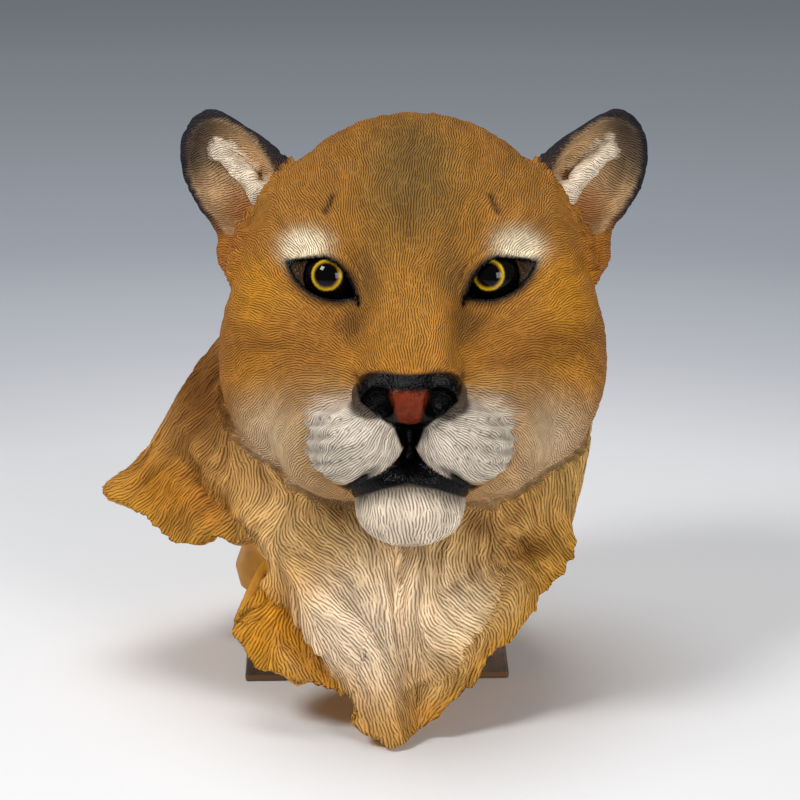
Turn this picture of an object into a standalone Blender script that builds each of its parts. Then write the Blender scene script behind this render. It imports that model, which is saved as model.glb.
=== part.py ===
"""Cast cougar head on a small tapered plinth, life size, in metres with +Z up."""

from collections import namedtuple
from math import cos, radians, sin

import bmesh
import bpy
import numpy as np
from mathutils import Matrix

MM = 0.001


def mm(*values):
    """Lengths written in millimetres, as metres."""
    return np.array(values, float) * MM


# Where the head sits: its own axes run to its right on the picture, to its crown and to its nose
HEAD_CENTRE = mm(18.2, -24.7, 187.3)
HEAD_PITCH = radians(14.0)
HEAD_TURN = radians(1.2)
HEAD_LOW = mm(-126, -118, -130)
HEAD_HIGH = mm(126, 110, 112)
HEAD_CELL = 2.2 * MM
HEAD_FACES = 5000

# How the skin is found: the nearest a crossing may come to a grid point, as a share of the cell, then
# the reach of the slope's probe, the least squared slope and the longest step as a share of the cell
NEAREST_CROSSING = 0.08
PROBE = 0.1 * MM
LEAST_SLOPE = 0.2
LONGEST_STEP = 0.4

# Glass eyes: the ball, then the two arcs (along, up, radius) and the line that bound the lids' opening
EYE_CENTRE = mm(37.7, 14.5, 30.5)
EYE_RADIUS = 12.5 * MM
EYE_GAP = 0.3 * MM
EYE_FINENESS = 3
LID_THICKNESS = 3.4 * MM
LID_MARGIN = 0.8 * MM
LID_CORNER_DEPTH = 2.0 * MM
LID_EDGE = 1.0 * MM
LID_BLEND = 5 * MM
LID_SLANT = radians(29.0)
UPPER_ARC = mm(3.2, -15.7, 22.3)
LOWER_ARC = mm(3.5, 14.0, 25.5)
LID_CORNER = mm(21.4, -3.1)
LID_FLAT = mm(12.9, 2.5)

# The block that the bust stands on
PLINTH_FOOT = mm(131, 56)
PLINTH_TOP = mm(122, 48)
PLINTH_HEIGHT = 38.0 * MM
PLINTH_BAND = 3.0 * MM
PLINTH_BEVEL = 1.2 * MM
BEVEL_STEPS = 2
PLINTH_TURN = radians(2.0)
SEAT_GAP = 0.3 * MM

# The clay masses that the head is blended from; those off the middle stand for a pair
Form = namedtuple("Form", "name centre radii tilt blend")
SKULL = Form("cranium", mm(0, 21, -32), mm(78, 77, 78), 0, 0)
SKULL_FORMS = (
    Form("temple", mm(48, 22, -20), mm(38, 45, 48), 0, 12 * MM),
    Form("cheek ruff", mm(44, -24, -8), mm(50, 59, 48), 0, 14 * MM),
    Form("nape", mm(0, -20, -62), mm(66, 62, 50), 0, 20 * MM),
    Form("cheekbone", mm(55, -6, 10), mm(31, 26, 34), 0, 14 * MM),
    Form("jaw", mm(0, -62, 14), mm(54, 32, 58), 0, 12 * MM),
    Form("muzzle side", mm(30, -42, 30), mm(33, 33, 40), 0, 22 * MM),
    Form("lip corner", mm(38, -64, 34), mm(23, 23, 36), 0, 14 * MM),
    Form("brow", mm(31, 33, 20), mm(26, 13, 17), 18, 9 * MM),
    Form("ear base", mm(87, 31, -38), mm(11, 15, 14), 0, 5 * MM),
)
FACE_FORMS = (
    Form("lower lip", mm(0, -80, 62), mm(31, 11, 25), 0, 4 * MM),
    Form("chin", mm(0, -92, 61), mm(25, 18.5, 25), 0, 5 * MM),
    Form("upper lip", mm(23, -63, 68), mm(23.5, 20.5, 26), -18, 4 * MM),
    Form("nose tip", mm(0, -42, 85), mm(19, 12.5, 17), 0, 4 * MM),
    Form("nose wing", mm(15.5, -40.5, 83), mm(10.5, 10, 16), -24, 2.5 * MM),
)
BRIDGE_TOP = mm(0, 34, 10)
BRIDGE_END = mm(0, -31, 72)
BRIDGE_RADII = mm(17, 23)
BRIDGE_BLEND = 16 * MM

# Ears: a rounded bowl that leans outwards, cut straight above, hollowed from the front, with a tuft
EAR_CENTRE = mm(87, 67, -34)
EAR_RADII = mm(26, 37, 18)
EAR_CUP = mm(20.5, 31.5, 18)
EAR_CUP_FORWARD = 10.0 * MM
EAR_FRONT = 6.0 * MM
EAR_FRONT_EASE = 3 * MM
EAR_LEAN = radians(32.0)
EAR_YAW = radians(20.0)
EAR_TOP = mm(60, 77)
EAR_TOP_SLOPE = radians(33.0)
EAR_TOP_EASE = 4 * MM
EAR_TOP_WALL = 4 * MM
EAR_CUP_EASE = 3 * MM
EAR_BLEND = 7 * MM
EAR_RIM = 2 * MM
EAR_TUFT_TOP = mm(96, 81, -36)
EAR_TUFT_FOOT = mm(71, 53, -25)
EAR_TUFT_RADII = mm(5, 8)
EAR_TUFT_BLEND = 2 * MM

# Nostrils, mouth line and the groove under the nose
NOSTRIL = Form("nostril", mm(14.5, -46, 99), mm(7.4, 8.2, 10), 28, 1.2 * MM)
LIP_LINE = mm((0, -69, 94), (5, -71.5, 93), (18, -78, 88), (31, -85, 72)).reshape(-1, 3)
LIP_GROOVE = 2.0 * MM
LIP_EASE = 1.5 * MM
PHILTRUM_TOP = mm(0, -55, 98)
PHILTRUM_GROOVE = 1.5 * MM

# Neck rings at eight stations: front, front right, right, back right, back, back left, left, front left
CROWN_CENTRE = mm(16, 22, 190)
CROWN_RADII = mm(56, 48)
CROWN_TILT = 38 * MM
THROAT = mm(
    (14, -58, 118), (62, -50, 128), (103, -14, 140), (80, 60, 150),
    (8, 96, 158), (-58, 74, 155), (-87, 15, 150), (-46, -45, 128),
).reshape(-1, 3)
BREAST = mm(
    (12, -95, 70), (66, -80, 84), (101, -28, 106), (84, 50, 105),
    (0, 100, 106), (-78, 74, 108), (-112, 8, 111), (-62, -60, 94),
).reshape(-1, 3)

# The ragged hem: angle round the neck (0 right, 90 back), then x, y and z
HEM = (
    (-90, 10, -117, 1), (-80, 26, -112, 10), (-70, 45, -104, 23), (-60, 55, -96, 38),
    (-50, 69, -88, 48), (-38, 81, -76, 63), (-27, 94, -62, 73), (-18, 96, -50, 80),
    (-5, 92, -28, 70), (10, 98, -5, 78), (28, 92, 24, 64), (45, 86, 50, 72),
    (62, 60, 76, 58), (78, 32, 94, 66), (92, 2, 94, 56), (108, -28, 96, 66),
    (122, -56, 80, 58), (138, -86, 68, 72), (152, -106, 46, 66), (165, -124, 26, 84),
    (175, -136, 0, 92), (181, -128, -8, 86), (186, -116, -16, 84), (191, -107, -26, 77),
    (197, -97, -34, 73), (203, -87, -42, 75), (209, -77, -50, 80), (214, -66, -57, 81),
    (220, -55, -64, 80), (225, -51, -70, 68), (229, -50, -75, 57), (232, -56, -80, 56),
    (235, -63, -84, 53), (239, -67, -86, 45), (243, -64, -90, 40), (247, -57, -94, 33),
    (250, -50, -98, 31), (254, -34, -104, 28), (258, -23, -109, 26), (261, -13, -112, 24),
    (263.5, -8, -114, 17), (266, -11, -117, 12), (268, -2, -118, 5),
)
PER_STATION = 2

# Relief strokes on the coat as the front shows them: x and z along the stroke, width, height
Stroke = namedtuple("Stroke", "name line width height")
STROKES = (
    Stroke("breast roll", ((-38, 76), (-20, 53), (-4, 38), (6, 18), (9, 2)), 12, 5),
    Stroke("breast valley", ((9, 90), (12, 69), (20, 33), (22, 9)), 5, -4),
    Stroke("lobe groove", ((-45, 60), (-33, 41), (-15, 22)), 5, -3.5),
    Stroke("right hollow", ((80, 86), (66, 78)), 8, -5),
    Stroke("throat hollow", ((50, 97), (46, 92)), 9, -3),
    Stroke("throat fold", ((-16, 101), (-11, 88)), 6, -3),
    Stroke("shoulder groove", ((-105, 113), (-85, 98), (-66, 86)), 7, -4),
    Stroke("right layer", ((66, 66), (54, 50), (44, 38), (36, 29), (24, 24)), 6, 4),
)
STROKE_FADE = 30 * MM
DOWN = 16
WALL = 6.0 * MM
MIDDLE = mm(0, 0, 100)
UNDER_AIM = mm(0, -20, 0)

# The smooth core under the hem, from its ceiling down to the seat: height, half width, half depth
CORE = mm((64, 66, 34), (53, 70, 36), (44, 68, 32), (0, 62, 24)).reshape(-1, 3)
CORE[-1, 0] = PLINTH_HEIGHT + SEAT_GAP
CORE_SQUARENESS = 3
UNDER_RISE = 12.0 * MM
UNDER_STEPS = (0.25, 0.55, 0.8)

# Finishes: base colour and roughness
RESIN = ((0.52, 0.31, 0.13), 0.55)
GLASS = ((0.45, 0.28, 0.03), 0.05)
DARK_RESIN = ((0.07, 0.045, 0.03), 0.5)


def head_matrix():
    """From the head's own axes to the object's: nose towards -Y, tipped up and turned a little."""
    tip = Matrix.Rotation(-HEAD_PITCH, 4, "X")
    turn = Matrix.Rotation(-HEAD_TURN, 4, "Z")
    swap = Matrix(((1, 0, 0, 0), (0, 0, -1, 0), (0, 1, 0, 0), (0, 0, 0, 1)))
    return Matrix.Translation(HEAD_CENTRE.tolist()) @ tip @ turn @ swap


def ellipsoid(points, centre, radii, tilt=0.0):
    """Signed distance to an ellipsoid that is tilted in the plane of the face, in degrees."""
    p = points - centre
    if tilt:
        c, s = cos(radians(tilt)), sin(radians(tilt))
        p = np.stack([c * p[:, 0] + s * p[:, 1], c * p[:, 1] - s * p[:, 0], p[:, 2]], 1)
    near = np.linalg.norm(p / radii, axis=1)
    slope = np.linalg.norm(p / radii**2, axis=1) + 1e-9
    return near * (near - 1.0) / slope


def bar(points, start, end, radius, end_radius=None):
    """Signed distance to a round bar, which may grow thicker towards its end."""
    axis = end - start
    along = np.clip((points - start) @ axis / (axis @ axis), 0, 1)
    thick = radius if end_radius is None else radius + along * (end_radius - radius)
    return np.linalg.norm(points - start - along[:, None] * axis, axis=1) - thick


def blend(one, other, width):
    """Union of two masses with a fillet of the given width, as clay is thumbed together."""
    h = np.clip(0.5 + 0.5 * (other - one) / width, 0, 1)
    return other * (1 - h) + one * h - width * h * (1 - h)


def carve(mass, cutter, width):
    """The mass with the cutter taken away, its edge eased."""
    return -blend(-mass, cutter, width)


def bell(distance, width):
    return np.exp(-((distance / width) ** 2))


def lid_opening(points):
    """Signed distance to the almond between the two lids, below zero inside it."""
    x, y = points[:, 0] - EYE_CENTRE[0], points[:, 1] - EYE_CENTRE[1]
    c, s = cos(LID_SLANT), sin(LID_SLANT)
    along, across = c * x + s * y, c * y - s * x
    upper = np.hypot(along - UPPER_ARC[0], across - UPPER_ARC[1]) - UPPER_ARC[2]
    lower = np.hypot(along - LOWER_ARC[0], across - LOWER_ARC[1]) - LOWER_ARC[2]
    run, rise = (LID_FLAT - LID_CORNER) / np.linalg.norm(LID_FLAT - LID_CORNER)
    flat = rise * (along - LID_CORNER[0]) - run * (across - LID_CORNER[1])
    return np.maximum(np.maximum(upper, flat), lower)


def set_eye(mass, p):
    """Lids drawn over the ball and opened to the almond."""
    reach = np.linalg.norm(p - EYE_CENTRE, axis=1) - EYE_RADIUS
    mass = blend(mass, reach - LID_THICKNESS, LID_BLEND)
    corner = -mass - LID_CORNER_DEPTH
    front = np.maximum(reach - 2 * LID_THICKNESS, EYE_CENTRE[2] + LID_THICKNESS - p[:, 2])
    slot = np.maximum(lid_opening(p) + LID_MARGIN, np.minimum(corner, front))
    return carve(mass, slot, LID_EDGE)


def in_ear(points):
    """Points in axes that run across, along and out of the ear."""
    p = points - EAR_CENTRE
    c, s = cos(EAR_LEAN), sin(EAR_LEAN)
    p = np.stack([c * p[:, 0] - s * p[:, 1], s * p[:, 0] + c * p[:, 1], p[:, 2]], 1)
    c, s = cos(EAR_YAW), sin(EAR_YAW)
    return np.stack([c * p[:, 0] - s * p[:, 2], p[:, 1], s * p[:, 0] + c * p[:, 2]], 1)


def add_ear(mass, points):
    """The ear's bowl and its hollow, both cut off above, and the tuft that hangs over the hollow."""
    p = in_ear(points)
    top = points[:, :2] - EAR_TOP
    above = cos(EAR_TOP_SLOPE) * top[:, 1] - sin(EAR_TOP_SLOPE) * top[:, 0]
    bowl = carve(ellipsoid(p, mm(0, 0, 0), EAR_RADII), EAR_FRONT - p[:, 2], EAR_FRONT_EASE)
    bowl = carve(bowl, -above, EAR_TOP_EASE)
    hollow = ellipsoid(p, np.array([0, 0, EAR_CUP_FORWARD]), EAR_CUP)
    hollow = carve(hollow, -above - EAR_TOP_WALL, EAR_CUP_EASE)
    mass = carve(blend(mass, bowl, EAR_BLEND), hollow, EAR_RIM)
    return blend(mass, bar(points, EAR_TUFT_TOP, EAR_TUFT_FOOT, *EAR_TUFT_RADII), EAR_TUFT_BLEND)


def carve_mouth(mass, p):
    """The mouth line, the groove under the nose and the nostrils."""
    groove = bar(p, PHILTRUM_TOP, LIP_LINE[0], PHILTRUM_GROOVE)
    for start, end in zip(LIP_LINE[:-1], LIP_LINE[1:]):
        groove = np.minimum(groove, bar(p, start, end, LIP_GROOVE))
    mass = carve(mass, groove, LIP_EASE)
    return carve(mass, ellipsoid(p, NOSTRIL.centre, NOSTRIL.radii, NOSTRIL.tilt), NOSTRIL.blend)


def head_field(points):
    """Signed distance to the whole head; only the right half is described."""
    p = np.column_stack([np.abs(points[:, 0]), points[:, 1], points[:, 2]])
    mass = ellipsoid(p, SKULL.centre, SKULL.radii)
    for form in SKULL_FORMS:
        mass = blend(mass, ellipsoid(p, form.centre, form.radii, form.tilt), form.blend)
    mass = blend(mass, bar(p, BRIDGE_TOP, BRIDGE_END, *BRIDGE_RADII), BRIDGE_BLEND)
    for form in FACE_FORMS:
        mass = blend(mass, ellipsoid(p, form.centre, form.radii, form.tilt), form.blend)
    return set_eye(carve_mouth(add_ear(mass, p), p), p)


def crossed_pyramids(value):
    """Each grid cube cut into six pyramids round its long diagonal; those that the surface crosses."""
    number = np.arange(value.size).reshape(value.shape)
    corner = np.array([(n & 1, n >> 1 & 1, n >> 2) for n in range(8)])
    size = np.array(value.shape) - 1
    blocks = [(slice(i, i + size[0]), slice(j, j + size[1]), slice(k, k + size[2])) for i, j, k in corner]
    lowest = np.minimum.reduce([value[block] for block in blocks])
    highest = np.maximum.reduce([value[block] for block in blocks])
    mixed = (lowest < 0) & (highest > 0)
    cubes = np.stack([number[block][mixed] for block in blocks], 1)
    found, turned = [], []
    for one in (1, 2, 4):
        for two in (1, 2, 4):
            if one == two:
                continue
            path = [0, one, one + two, 7]
            found.append(cubes[:, path])
            left_handed = np.linalg.det(corner[path[1:]]) < 0
            turned.append(np.full(len(cubes), left_handed))
    return np.concatenate(found), np.concatenate(turned)


# Ways to number a pyramid's corners so that one, or two, come first and its handedness stays
ONE_FIRST = ((0, 1, 2, 3), (1, 0, 3, 2), (2, 0, 1, 3), (3, 0, 2, 1))
TWO_FIRST = ((0, 1, 2, 3), (0, 2, 3, 1), (0, 3, 1, 2), (1, 2, 0, 3), (1, 3, 2, 0), (2, 3, 0, 1))


def skin(field, low, high, cell):
    """Points and triangles where the field is zero, on a grid of the given cell."""
    steps = [np.arange(low[i], high[i] + cell, cell) for i in range(3)]
    nodes = np.stack(np.meshgrid(*steps, indexing="ij"), -1)
    value = field(nodes.reshape(-1, 3))
    nearest = NEAREST_CROSSING * cell
    value = np.where(np.abs(value) < nearest, np.where(value < 0, -nearest, nearest), value)
    pyramids, turned = crossed_pyramids(value.reshape(nodes.shape[:3]))
    inside = value[pyramids] < 0
    ends = []
    for a, b, c, d in ONE_FIRST:
        for sign in (True, False):
            lone = (inside[:, a] == sign) & (inside[:, [b, c, d]] == (not sign)).all(1)
            t = pyramids[lone]
            tri = np.stack([t[:, [a, b]], t[:, [a, c]], t[:, [a, d]]], 1)
            flip = turned[lone] != (not sign)
            ends.append(np.where(flip[:, None, None], tri[:, ::-1], tri))
    for p, q, r, s in TWO_FIRST:
        pair = inside[:, p] & inside[:, q] & ~inside[:, r] & ~inside[:, s]
        t, flip = pyramids[pair], turned[pair][:, None, None]
        for corners in (([p, r], [p, s], [q, s]), ([p, r], [q, s], [q, r])):
            tri = np.stack([t[:, pick] for pick in corners], 1)
            ends.append(np.where(flip, tri[:, ::-1], tri))
    ends = np.sort(np.concatenate(ends), axis=2)
    keys, which = np.unique(ends[..., 0] * value.size + ends[..., 1], return_inverse=True)
    first, second = keys // value.size, keys % value.size
    share = value[first] / (value[first] - value[second])
    place = nodes.reshape(-1, 3)
    points = place[first] + share[:, None] * (place[second] - place[first])
    return points, which.reshape(-1, 3)


def settle(field, points, cell, rounds=3):
    """Points moved down the field's slope until they lie on its surface."""
    for _ in range(rounds):
        slope = np.empty_like(points)
        for axis in range(3):
            step = np.zeros(3)
            step[axis] = PROBE
            slope[:, axis] = (field(points + step) - field(points - step)) / (2 * PROBE)
        size = np.maximum((slope**2).sum(1), LEAST_SLOPE)
        move = -(field(points) / size)[:, None] * slope
        reach = np.linalg.norm(move, axis=1, keepdims=True)
        points = points + move * np.minimum(1, LONGEST_STEP * cell / np.maximum(reach, 1e-9))
    return points


def new_object(name, points, faces, matrix=None):
    mesh = bpy.data.meshes.new(name)
    mesh.from_pydata(points.tolist(), [], [list(map(int, face)) for face in faces])
    if matrix is not None:
        mesh.transform(matrix)
    mesh.update()
    obj = bpy.data.objects.new(name, mesh)
    bpy.context.scene.collection.objects.link(obj)
    return obj


def make_head():
    points, faces = skin(head_field, HEAD_LOW, HEAD_HIGH, HEAD_CELL)
    points = settle(head_field, points, HEAD_CELL)
    head = new_object("cougar_bust", points, faces, head_matrix())
    thin = head.modifiers.new("fewer faces", "DECIMATE")
    thin.ratio = HEAD_FACES / len(faces)
    return head


def round_spline(values, where):
    """A closed smooth curve through evenly numbered values, read at the given numbers."""
    count = len(values)
    k = np.floor(where).astype(int)
    f = (where - k)[:, None]
    p0, p1, p2, p3 = (values[(k + i) % count] for i in (-1, 0, 1, 2))
    bend = 2 * p0 - 5 * p1 + 4 * p2 - p3
    return p1 + 0.5 * f * (p2 - p0 + f * (bend + f * (3 * (p1 - p2) + p3 - p0)))


def stroke_height(points):
    """How far the strokes raise each point of the coat; they stay on the front."""
    total = np.zeros(len(points))
    for stroke in STROKES:
        line = np.array(stroke.line, float) * MM
        away = np.full(len(points), 1.0)
        for start, end in zip(line[:-1], line[1:]):
            away = np.minimum(away, bar(points[:, [0, 2]], start, end, 0))
        total += stroke.height * MM * bell(away, stroke.width * MM)
    return total * np.clip(-points[:, 1] / STROKE_FADE, 0, 1)


def hem_turn(station):
    """The angle round the neck at a station of the hem, in radians."""
    angle = np.array(HEM, float)[:, 0]
    wrapped = np.append(angle, angle[0] + 360)
    return np.radians(np.interp(station, np.arange(len(wrapped)), wrapped))


def neck_surface(station, t):
    """A point of the neck for each station number, at depth t from 0 at the crown to 1 at the hem."""
    turn = hem_turn(station)
    ring = ((np.degrees(turn) + 90) % 360) / 45
    crown = np.column_stack([
        CROWN_CENTRE[0] + CROWN_RADII[0] * np.cos(turn),
        CROWN_CENTRE[1] + CROWN_RADII[1] * np.sin(turn),
        CROWN_CENTRE[2] + CROWN_TILT * np.sin(turn),
    ])
    throat, breast = round_spline(THROAT, ring), round_spline(BREAST, ring)
    edge = round_spline(np.array(HEM, float)[:, 1:] * MM, station)
    rows = np.stack([2 * crown - throat, crown, throat, breast, edge, 2 * edge - breast])
    k = min(int(t * 3), 2)
    f = t * 3 - k
    p0, p1, p2, p3 = rows[k:k + 4]
    bend = 2 * p0 - 5 * p1 + 4 * p2 - p3
    return p1 + 0.5 * f * (p2 - p0 + f * (bend + f * (3 * (p1 - p2) + p3 - p0)))


def core_ring(station, height, half_width, half_depth):
    c, s = np.cos(hem_turn(station)), np.sin(hem_turn(station))
    reach = (np.abs(c) ** CORE_SQUARENESS + np.abs(s) ** CORE_SQUARENESS) ** (-1 / CORE_SQUARENESS)
    return np.column_stack([half_width * reach * c, half_depth * reach * s, np.full(len(c), height)])


def coat_rings(station):
    """Rings of the coat from the crown to the hem, raised by the relief strokes."""
    coat = np.stack([neck_surface(station, i / DOWN) for i in range(DOWN + 1)])
    out = np.cross(np.roll(coat, -1, 1) - np.roll(coat, 1, 1), np.gradient(coat, axis=0))
    out /= np.maximum(np.linalg.norm(out, axis=2, keepdims=True), 1e-12)
    facing = np.sign((out * (coat - MIDDLE)).sum())
    return list(coat + facing * out * stroke_height(coat.reshape(-1, 3)).reshape(len(coat), -1, 1))


def under_rings(station, hem, above):
    """Rings that turn in under the hem and climb to the core's ceiling."""
    inward = np.cross(np.roll(hem, -1, 0) - np.roll(hem, 1, 0), hem - above)
    inward /= np.linalg.norm(inward, axis=1, keepdims=True)
    inward *= np.sign((inward * (UNDER_AIM - hem)).sum(1))[:, None]
    lip = hem + inward * WALL
    ceiling = core_ring(station, *CORE[0])
    rings = [lip]
    for f in UNDER_STEPS:
        ring = lip + (ceiling - lip) * f
        ring[:, 2] += UNDER_RISE * 4 * f * (1 - f)
        rings.append(ring)
    return rings


def make_neck():
    """One closed skin: down the coat to the hem, back under it, and down the core to its seat."""
    columns = len(HEM) * PER_STATION
    station = np.arange(columns) / PER_STATION
    rings = coat_rings(station)
    rings += under_rings(station, rings[-1], rings[-2])
    rings += [core_ring(station, *row) for row in CORE]
    faces = []
    for row in range(len(rings) - 1):
        for i in range(columns):
            j = (i + 1) % columns
            a, b = row * columns, (row + 1) * columns
            faces.append((a + i, b + i, b + j, a + j))
    faces.append(tuple(range(columns)))
    last = (len(rings) - 1) * columns
    faces.append(tuple(last + i for i in reversed(range(columns))))
    return new_object("neck", np.concatenate(rings), faces)


def paint(obj, name, colour, roughness):
    material = bpy.data.materials.new(name)
    material.use_nodes = True
    shader = material.node_tree.nodes["Principled BSDF"]
    shader.inputs["Base Color"].default_value = (*colour, 1)
    shader.inputs["Roughness"].default_value = roughness
    obj.data.materials.append(material)


def make_bust():
    head = make_head()
    neck = make_neck()
    neck.hide_render = True
    neck.display_type = "WIRE"
    neck.data.shade_smooth()
    join = head.modifiers.new("neck", "BOOLEAN")
    join.operation = "UNION"
    join.object = neck
    for side in (-1, 1):
        cutter = ball("socket_cutter", side, EYE_RADIUS + EYE_GAP)
        cutter.hide_render = True
        cutter.display_type = "WIRE"
        socket = head.modifiers.new("eye socket", "BOOLEAN")
        socket.operation = "DIFFERENCE"
        socket.object = cutter
    paint(head, "painted_resin", *RESIN)
    head.data.shade_smooth()
    return head


def ball(name, side, radius):
    mesh = bpy.data.meshes.new(name)
    bm = bmesh.new()
    bmesh.ops.create_icosphere(bm, subdivisions=EYE_FINENESS, radius=radius)
    bm.to_mesh(mesh)
    bm.free()
    obj = bpy.data.objects.new(name, mesh)
    centre = Matrix.Translation((side * EYE_CENTRE[0], EYE_CENTRE[1], EYE_CENTRE[2]))
    obj.matrix_world = head_matrix() @ centre
    bpy.context.scene.collection.objects.link(obj)
    return obj


def make_eye(name, side):
    eye = ball(name, side, EYE_RADIUS)
    paint(eye, name + "_glass", *GLASS)
    eye.data.shade_smooth()


def make_plinth():
    """A low tapered block with a narrow upright band at its foot."""
    mesh = bpy.data.meshes.new("plinth")
    bm = bmesh.new()
    bmesh.ops.create_cube(bm, size=1)
    for vert in bm.verts:
        top = vert.co.z > 0
        size = PLINTH_TOP if top else PLINTH_FOOT
        vert.co.x *= size[0]
        vert.co.y *= size[1]
        vert.co.z = PLINTH_HEIGHT if top else PLINTH_BAND
    foot = [min(bm.faces, key=lambda face: face.normal.z)]
    lower = bmesh.ops.extrude_face_region(bm, geom=foot)["geom"]
    for item in lower:
        if isinstance(item, bmesh.types.BMVert):
            item.co.z = 0
    bmesh.ops.delete(bm, geom=foot, context="FACES")
    bmesh.ops.recalc_face_normals(bm, faces=bm.faces)
    bm.to_mesh(mesh)
    bm.free()
    plinth = bpy.data.objects.new("plinth", mesh)
    plinth.rotation_euler.z = PLINTH_TURN
    bpy.context.scene.collection.objects.link(plinth)
    bevel = plinth.modifiers.new("eased edges", "BEVEL")
    bevel.width = PLINTH_BEVEL
    bevel.segments = BEVEL_STEPS
    paint(plinth, "dark_resin", *DARK_RESIN)
    return plinth


def clear_scene():
    for obj in list(bpy.data.objects):
        bpy.data.objects.remove(obj, do_unlink=True)


def main():
    clear_scene()
    make_bust()
    make_eye("eye_left", -1)
    make_eye("eye_right", 1)
    make_plinth()


main()
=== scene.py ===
# %% [markdown]
# # A cougar head, cast in resin and painted by hand
# The real object is a hollow resin cast with carved fur, airbrushed in ochre, gold and cream,
# with glass eyes and a lacquered nose. It stands on the tip of its breast and on a dark block.
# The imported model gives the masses; this lesson gives the skin, the fur and the paint.

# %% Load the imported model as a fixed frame
from collections import namedtuple
from math import cos, pi, radians, sin

import bmesh
import bpy
import numpy as np
from mathutils import Matrix, Vector
from mathutils.kdtree import KDTree


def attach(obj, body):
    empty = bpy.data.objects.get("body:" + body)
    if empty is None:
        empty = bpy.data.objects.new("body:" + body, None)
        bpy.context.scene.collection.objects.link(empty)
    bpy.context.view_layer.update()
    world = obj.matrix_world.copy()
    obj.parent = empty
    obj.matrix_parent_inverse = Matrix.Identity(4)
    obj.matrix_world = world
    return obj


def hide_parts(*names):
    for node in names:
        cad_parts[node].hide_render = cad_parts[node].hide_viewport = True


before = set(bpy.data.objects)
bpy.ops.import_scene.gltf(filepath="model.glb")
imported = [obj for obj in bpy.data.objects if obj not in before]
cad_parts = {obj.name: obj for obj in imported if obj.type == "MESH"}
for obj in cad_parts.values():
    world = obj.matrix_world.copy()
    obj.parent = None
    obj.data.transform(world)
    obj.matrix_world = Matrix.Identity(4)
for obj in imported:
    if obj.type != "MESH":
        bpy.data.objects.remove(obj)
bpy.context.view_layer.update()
MM = 0.001

# %% [markdown]
# ## Camera
# The photograph looks slightly down on the face with a long lens. A camera a little over a metre
# away, level with the crown and tipped down, gives the same outline.

# %% Camera
CAMERA_PLACE = (0.0122, -1.248, 0.4477)
CAMERA_TIP = radians(14)
CAMERA_LENS = 117
camera_data = bpy.data.cameras.new("camera")
camera_data.lens = CAMERA_LENS
camera = bpy.data.objects.new("camera", camera_data)
camera.location = CAMERA_PLACE
camera.rotation_euler = (pi / 2 - CAMERA_TIP, 0, 0)
bpy.context.scene.collection.objects.link(camera)
bpy.context.scene.camera = camera
print("camera lens in mm:", camera_data.lens)

# %% [markdown]
# ## Floor and light
# A plain pale floor runs back; its colour is painted shade and light, darker about a metre out and
# lighter again far off, for the way light falls over a studio sweep. One large soft light stands to
# the left, a weaker one fills the right, and a third hangs overhead.

# %% Colours and node helpers


def srgb(red, green, blue):
    """A colour picked on screen, 0 to 255, as the linear values that shaders take."""
    c = np.array([red, green, blue]) / 255.0
    return tuple(np.where(c <= 0.04045, c / 12.92, ((c + 0.055) / 1.055) ** 2.4).tolist())


def new_material(name):
    """An empty node tree with its shader, and a short way to add and join nodes."""
    material = bpy.data.materials.new(name)
    material.use_nodes = True
    tree = material.node_tree
    shader = tree.nodes["Principled BSDF"]

    def add(kind, **settings):
        return put(tree.nodes.new("ShaderNode" + kind), **settings)

    return material, shader, add, tree.links.new


def put(node, **settings):
    """Set a node's inputs, with _ for each space in a name, or its options."""
    for key, value in settings.items():
        name = key.replace("_", " ")
        if name in node.inputs:
            node.inputs[name].default_value = value
        else:
            setattr(node, key, value)
    return node


def feed(link, value, socket):
    """Join another node's output to a socket, or set the socket to a plain value."""
    if isinstance(value, bpy.types.NodeSocket):
        link(value, socket)
    else:
        socket.default_value = value


def add_relief(add, link, shader, height, strength, distance):
    """Fine relief on the shader, in metres from the lowest to the highest."""
    bump = add("Bump", Strength=strength)
    feed(link, distance, bump.inputs["Distance"])
    link(height, bump.inputs["Height"])
    link(bump.outputs["Normal"], shader.inputs["Normal"])


def ramp(node, stops):
    """Colour stops for a ramp: pairs of place and colour."""
    elements = node.color_ramp.elements
    while len(elements) < len(stops):
        elements.new(0.5)
    for element, (place, colour) in zip(elements, stops):
        element.position = place
        element.color = (*colour, 1)


# %% Floor
FLOOR_RADIUS = 9.0
# Painted shade and light on the floor: darker about a metre from the middle, lighter again far off.
FLOOR_PAINTED_SHADING = ((0.0, srgb(238, 238, 238)), (0.05, srgb(236, 236, 238)), (0.08, srgb(214, 216, 222)),
               (0.13, srgb(198, 204, 214)), (0.3, srgb(236, 244, 252)), (1.0, srgb(250, 252, 255)))


def make_floor():
    bpy.ops.mesh.primitive_circle_add(vertices=96, radius=FLOOR_RADIUS, fill_type="NGON")
    floor = bpy.context.object
    floor.name = "floor"
    material, shader, add, link = new_material("studio floor")
    place = add("NewGeometry")
    distance = add("VectorMath", operation="LENGTH")
    link(place.outputs["Position"], distance.inputs[0])
    reach = add("MapRange", From_Max=FLOOR_RADIUS)
    link(distance.outputs["Value"], reach.inputs["Value"])
    shade = add("ValToRGB")
    ramp(shade, FLOOR_PAINTED_SHADING)
    link(reach.outputs["Result"], shade.inputs["Fac"])
    link(shade.outputs["Color"], shader.inputs["Base Color"])
    put(shader, Roughness=0.6)
    floor.data.materials.append(material)


make_floor()

# %% Lights
Lamp = namedtuple("Lamp", "name place size power")
LAMPS = (
    Lamp("key softbox", (-1.1, -0.9, 1.5), 0.5, 21.5),
    Lamp("fill softbox", (0.9, -1.5, 0.7), 0.7, 15.5),
    Lamp("overhead softbox", (-0.1, 0.2, 1.8), 1.1, 16),
)
AIM = Vector((0, 0, 0.14))
SKY = srgb(188, 192, 198)
SKY_STRENGTH = 0.26


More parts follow.
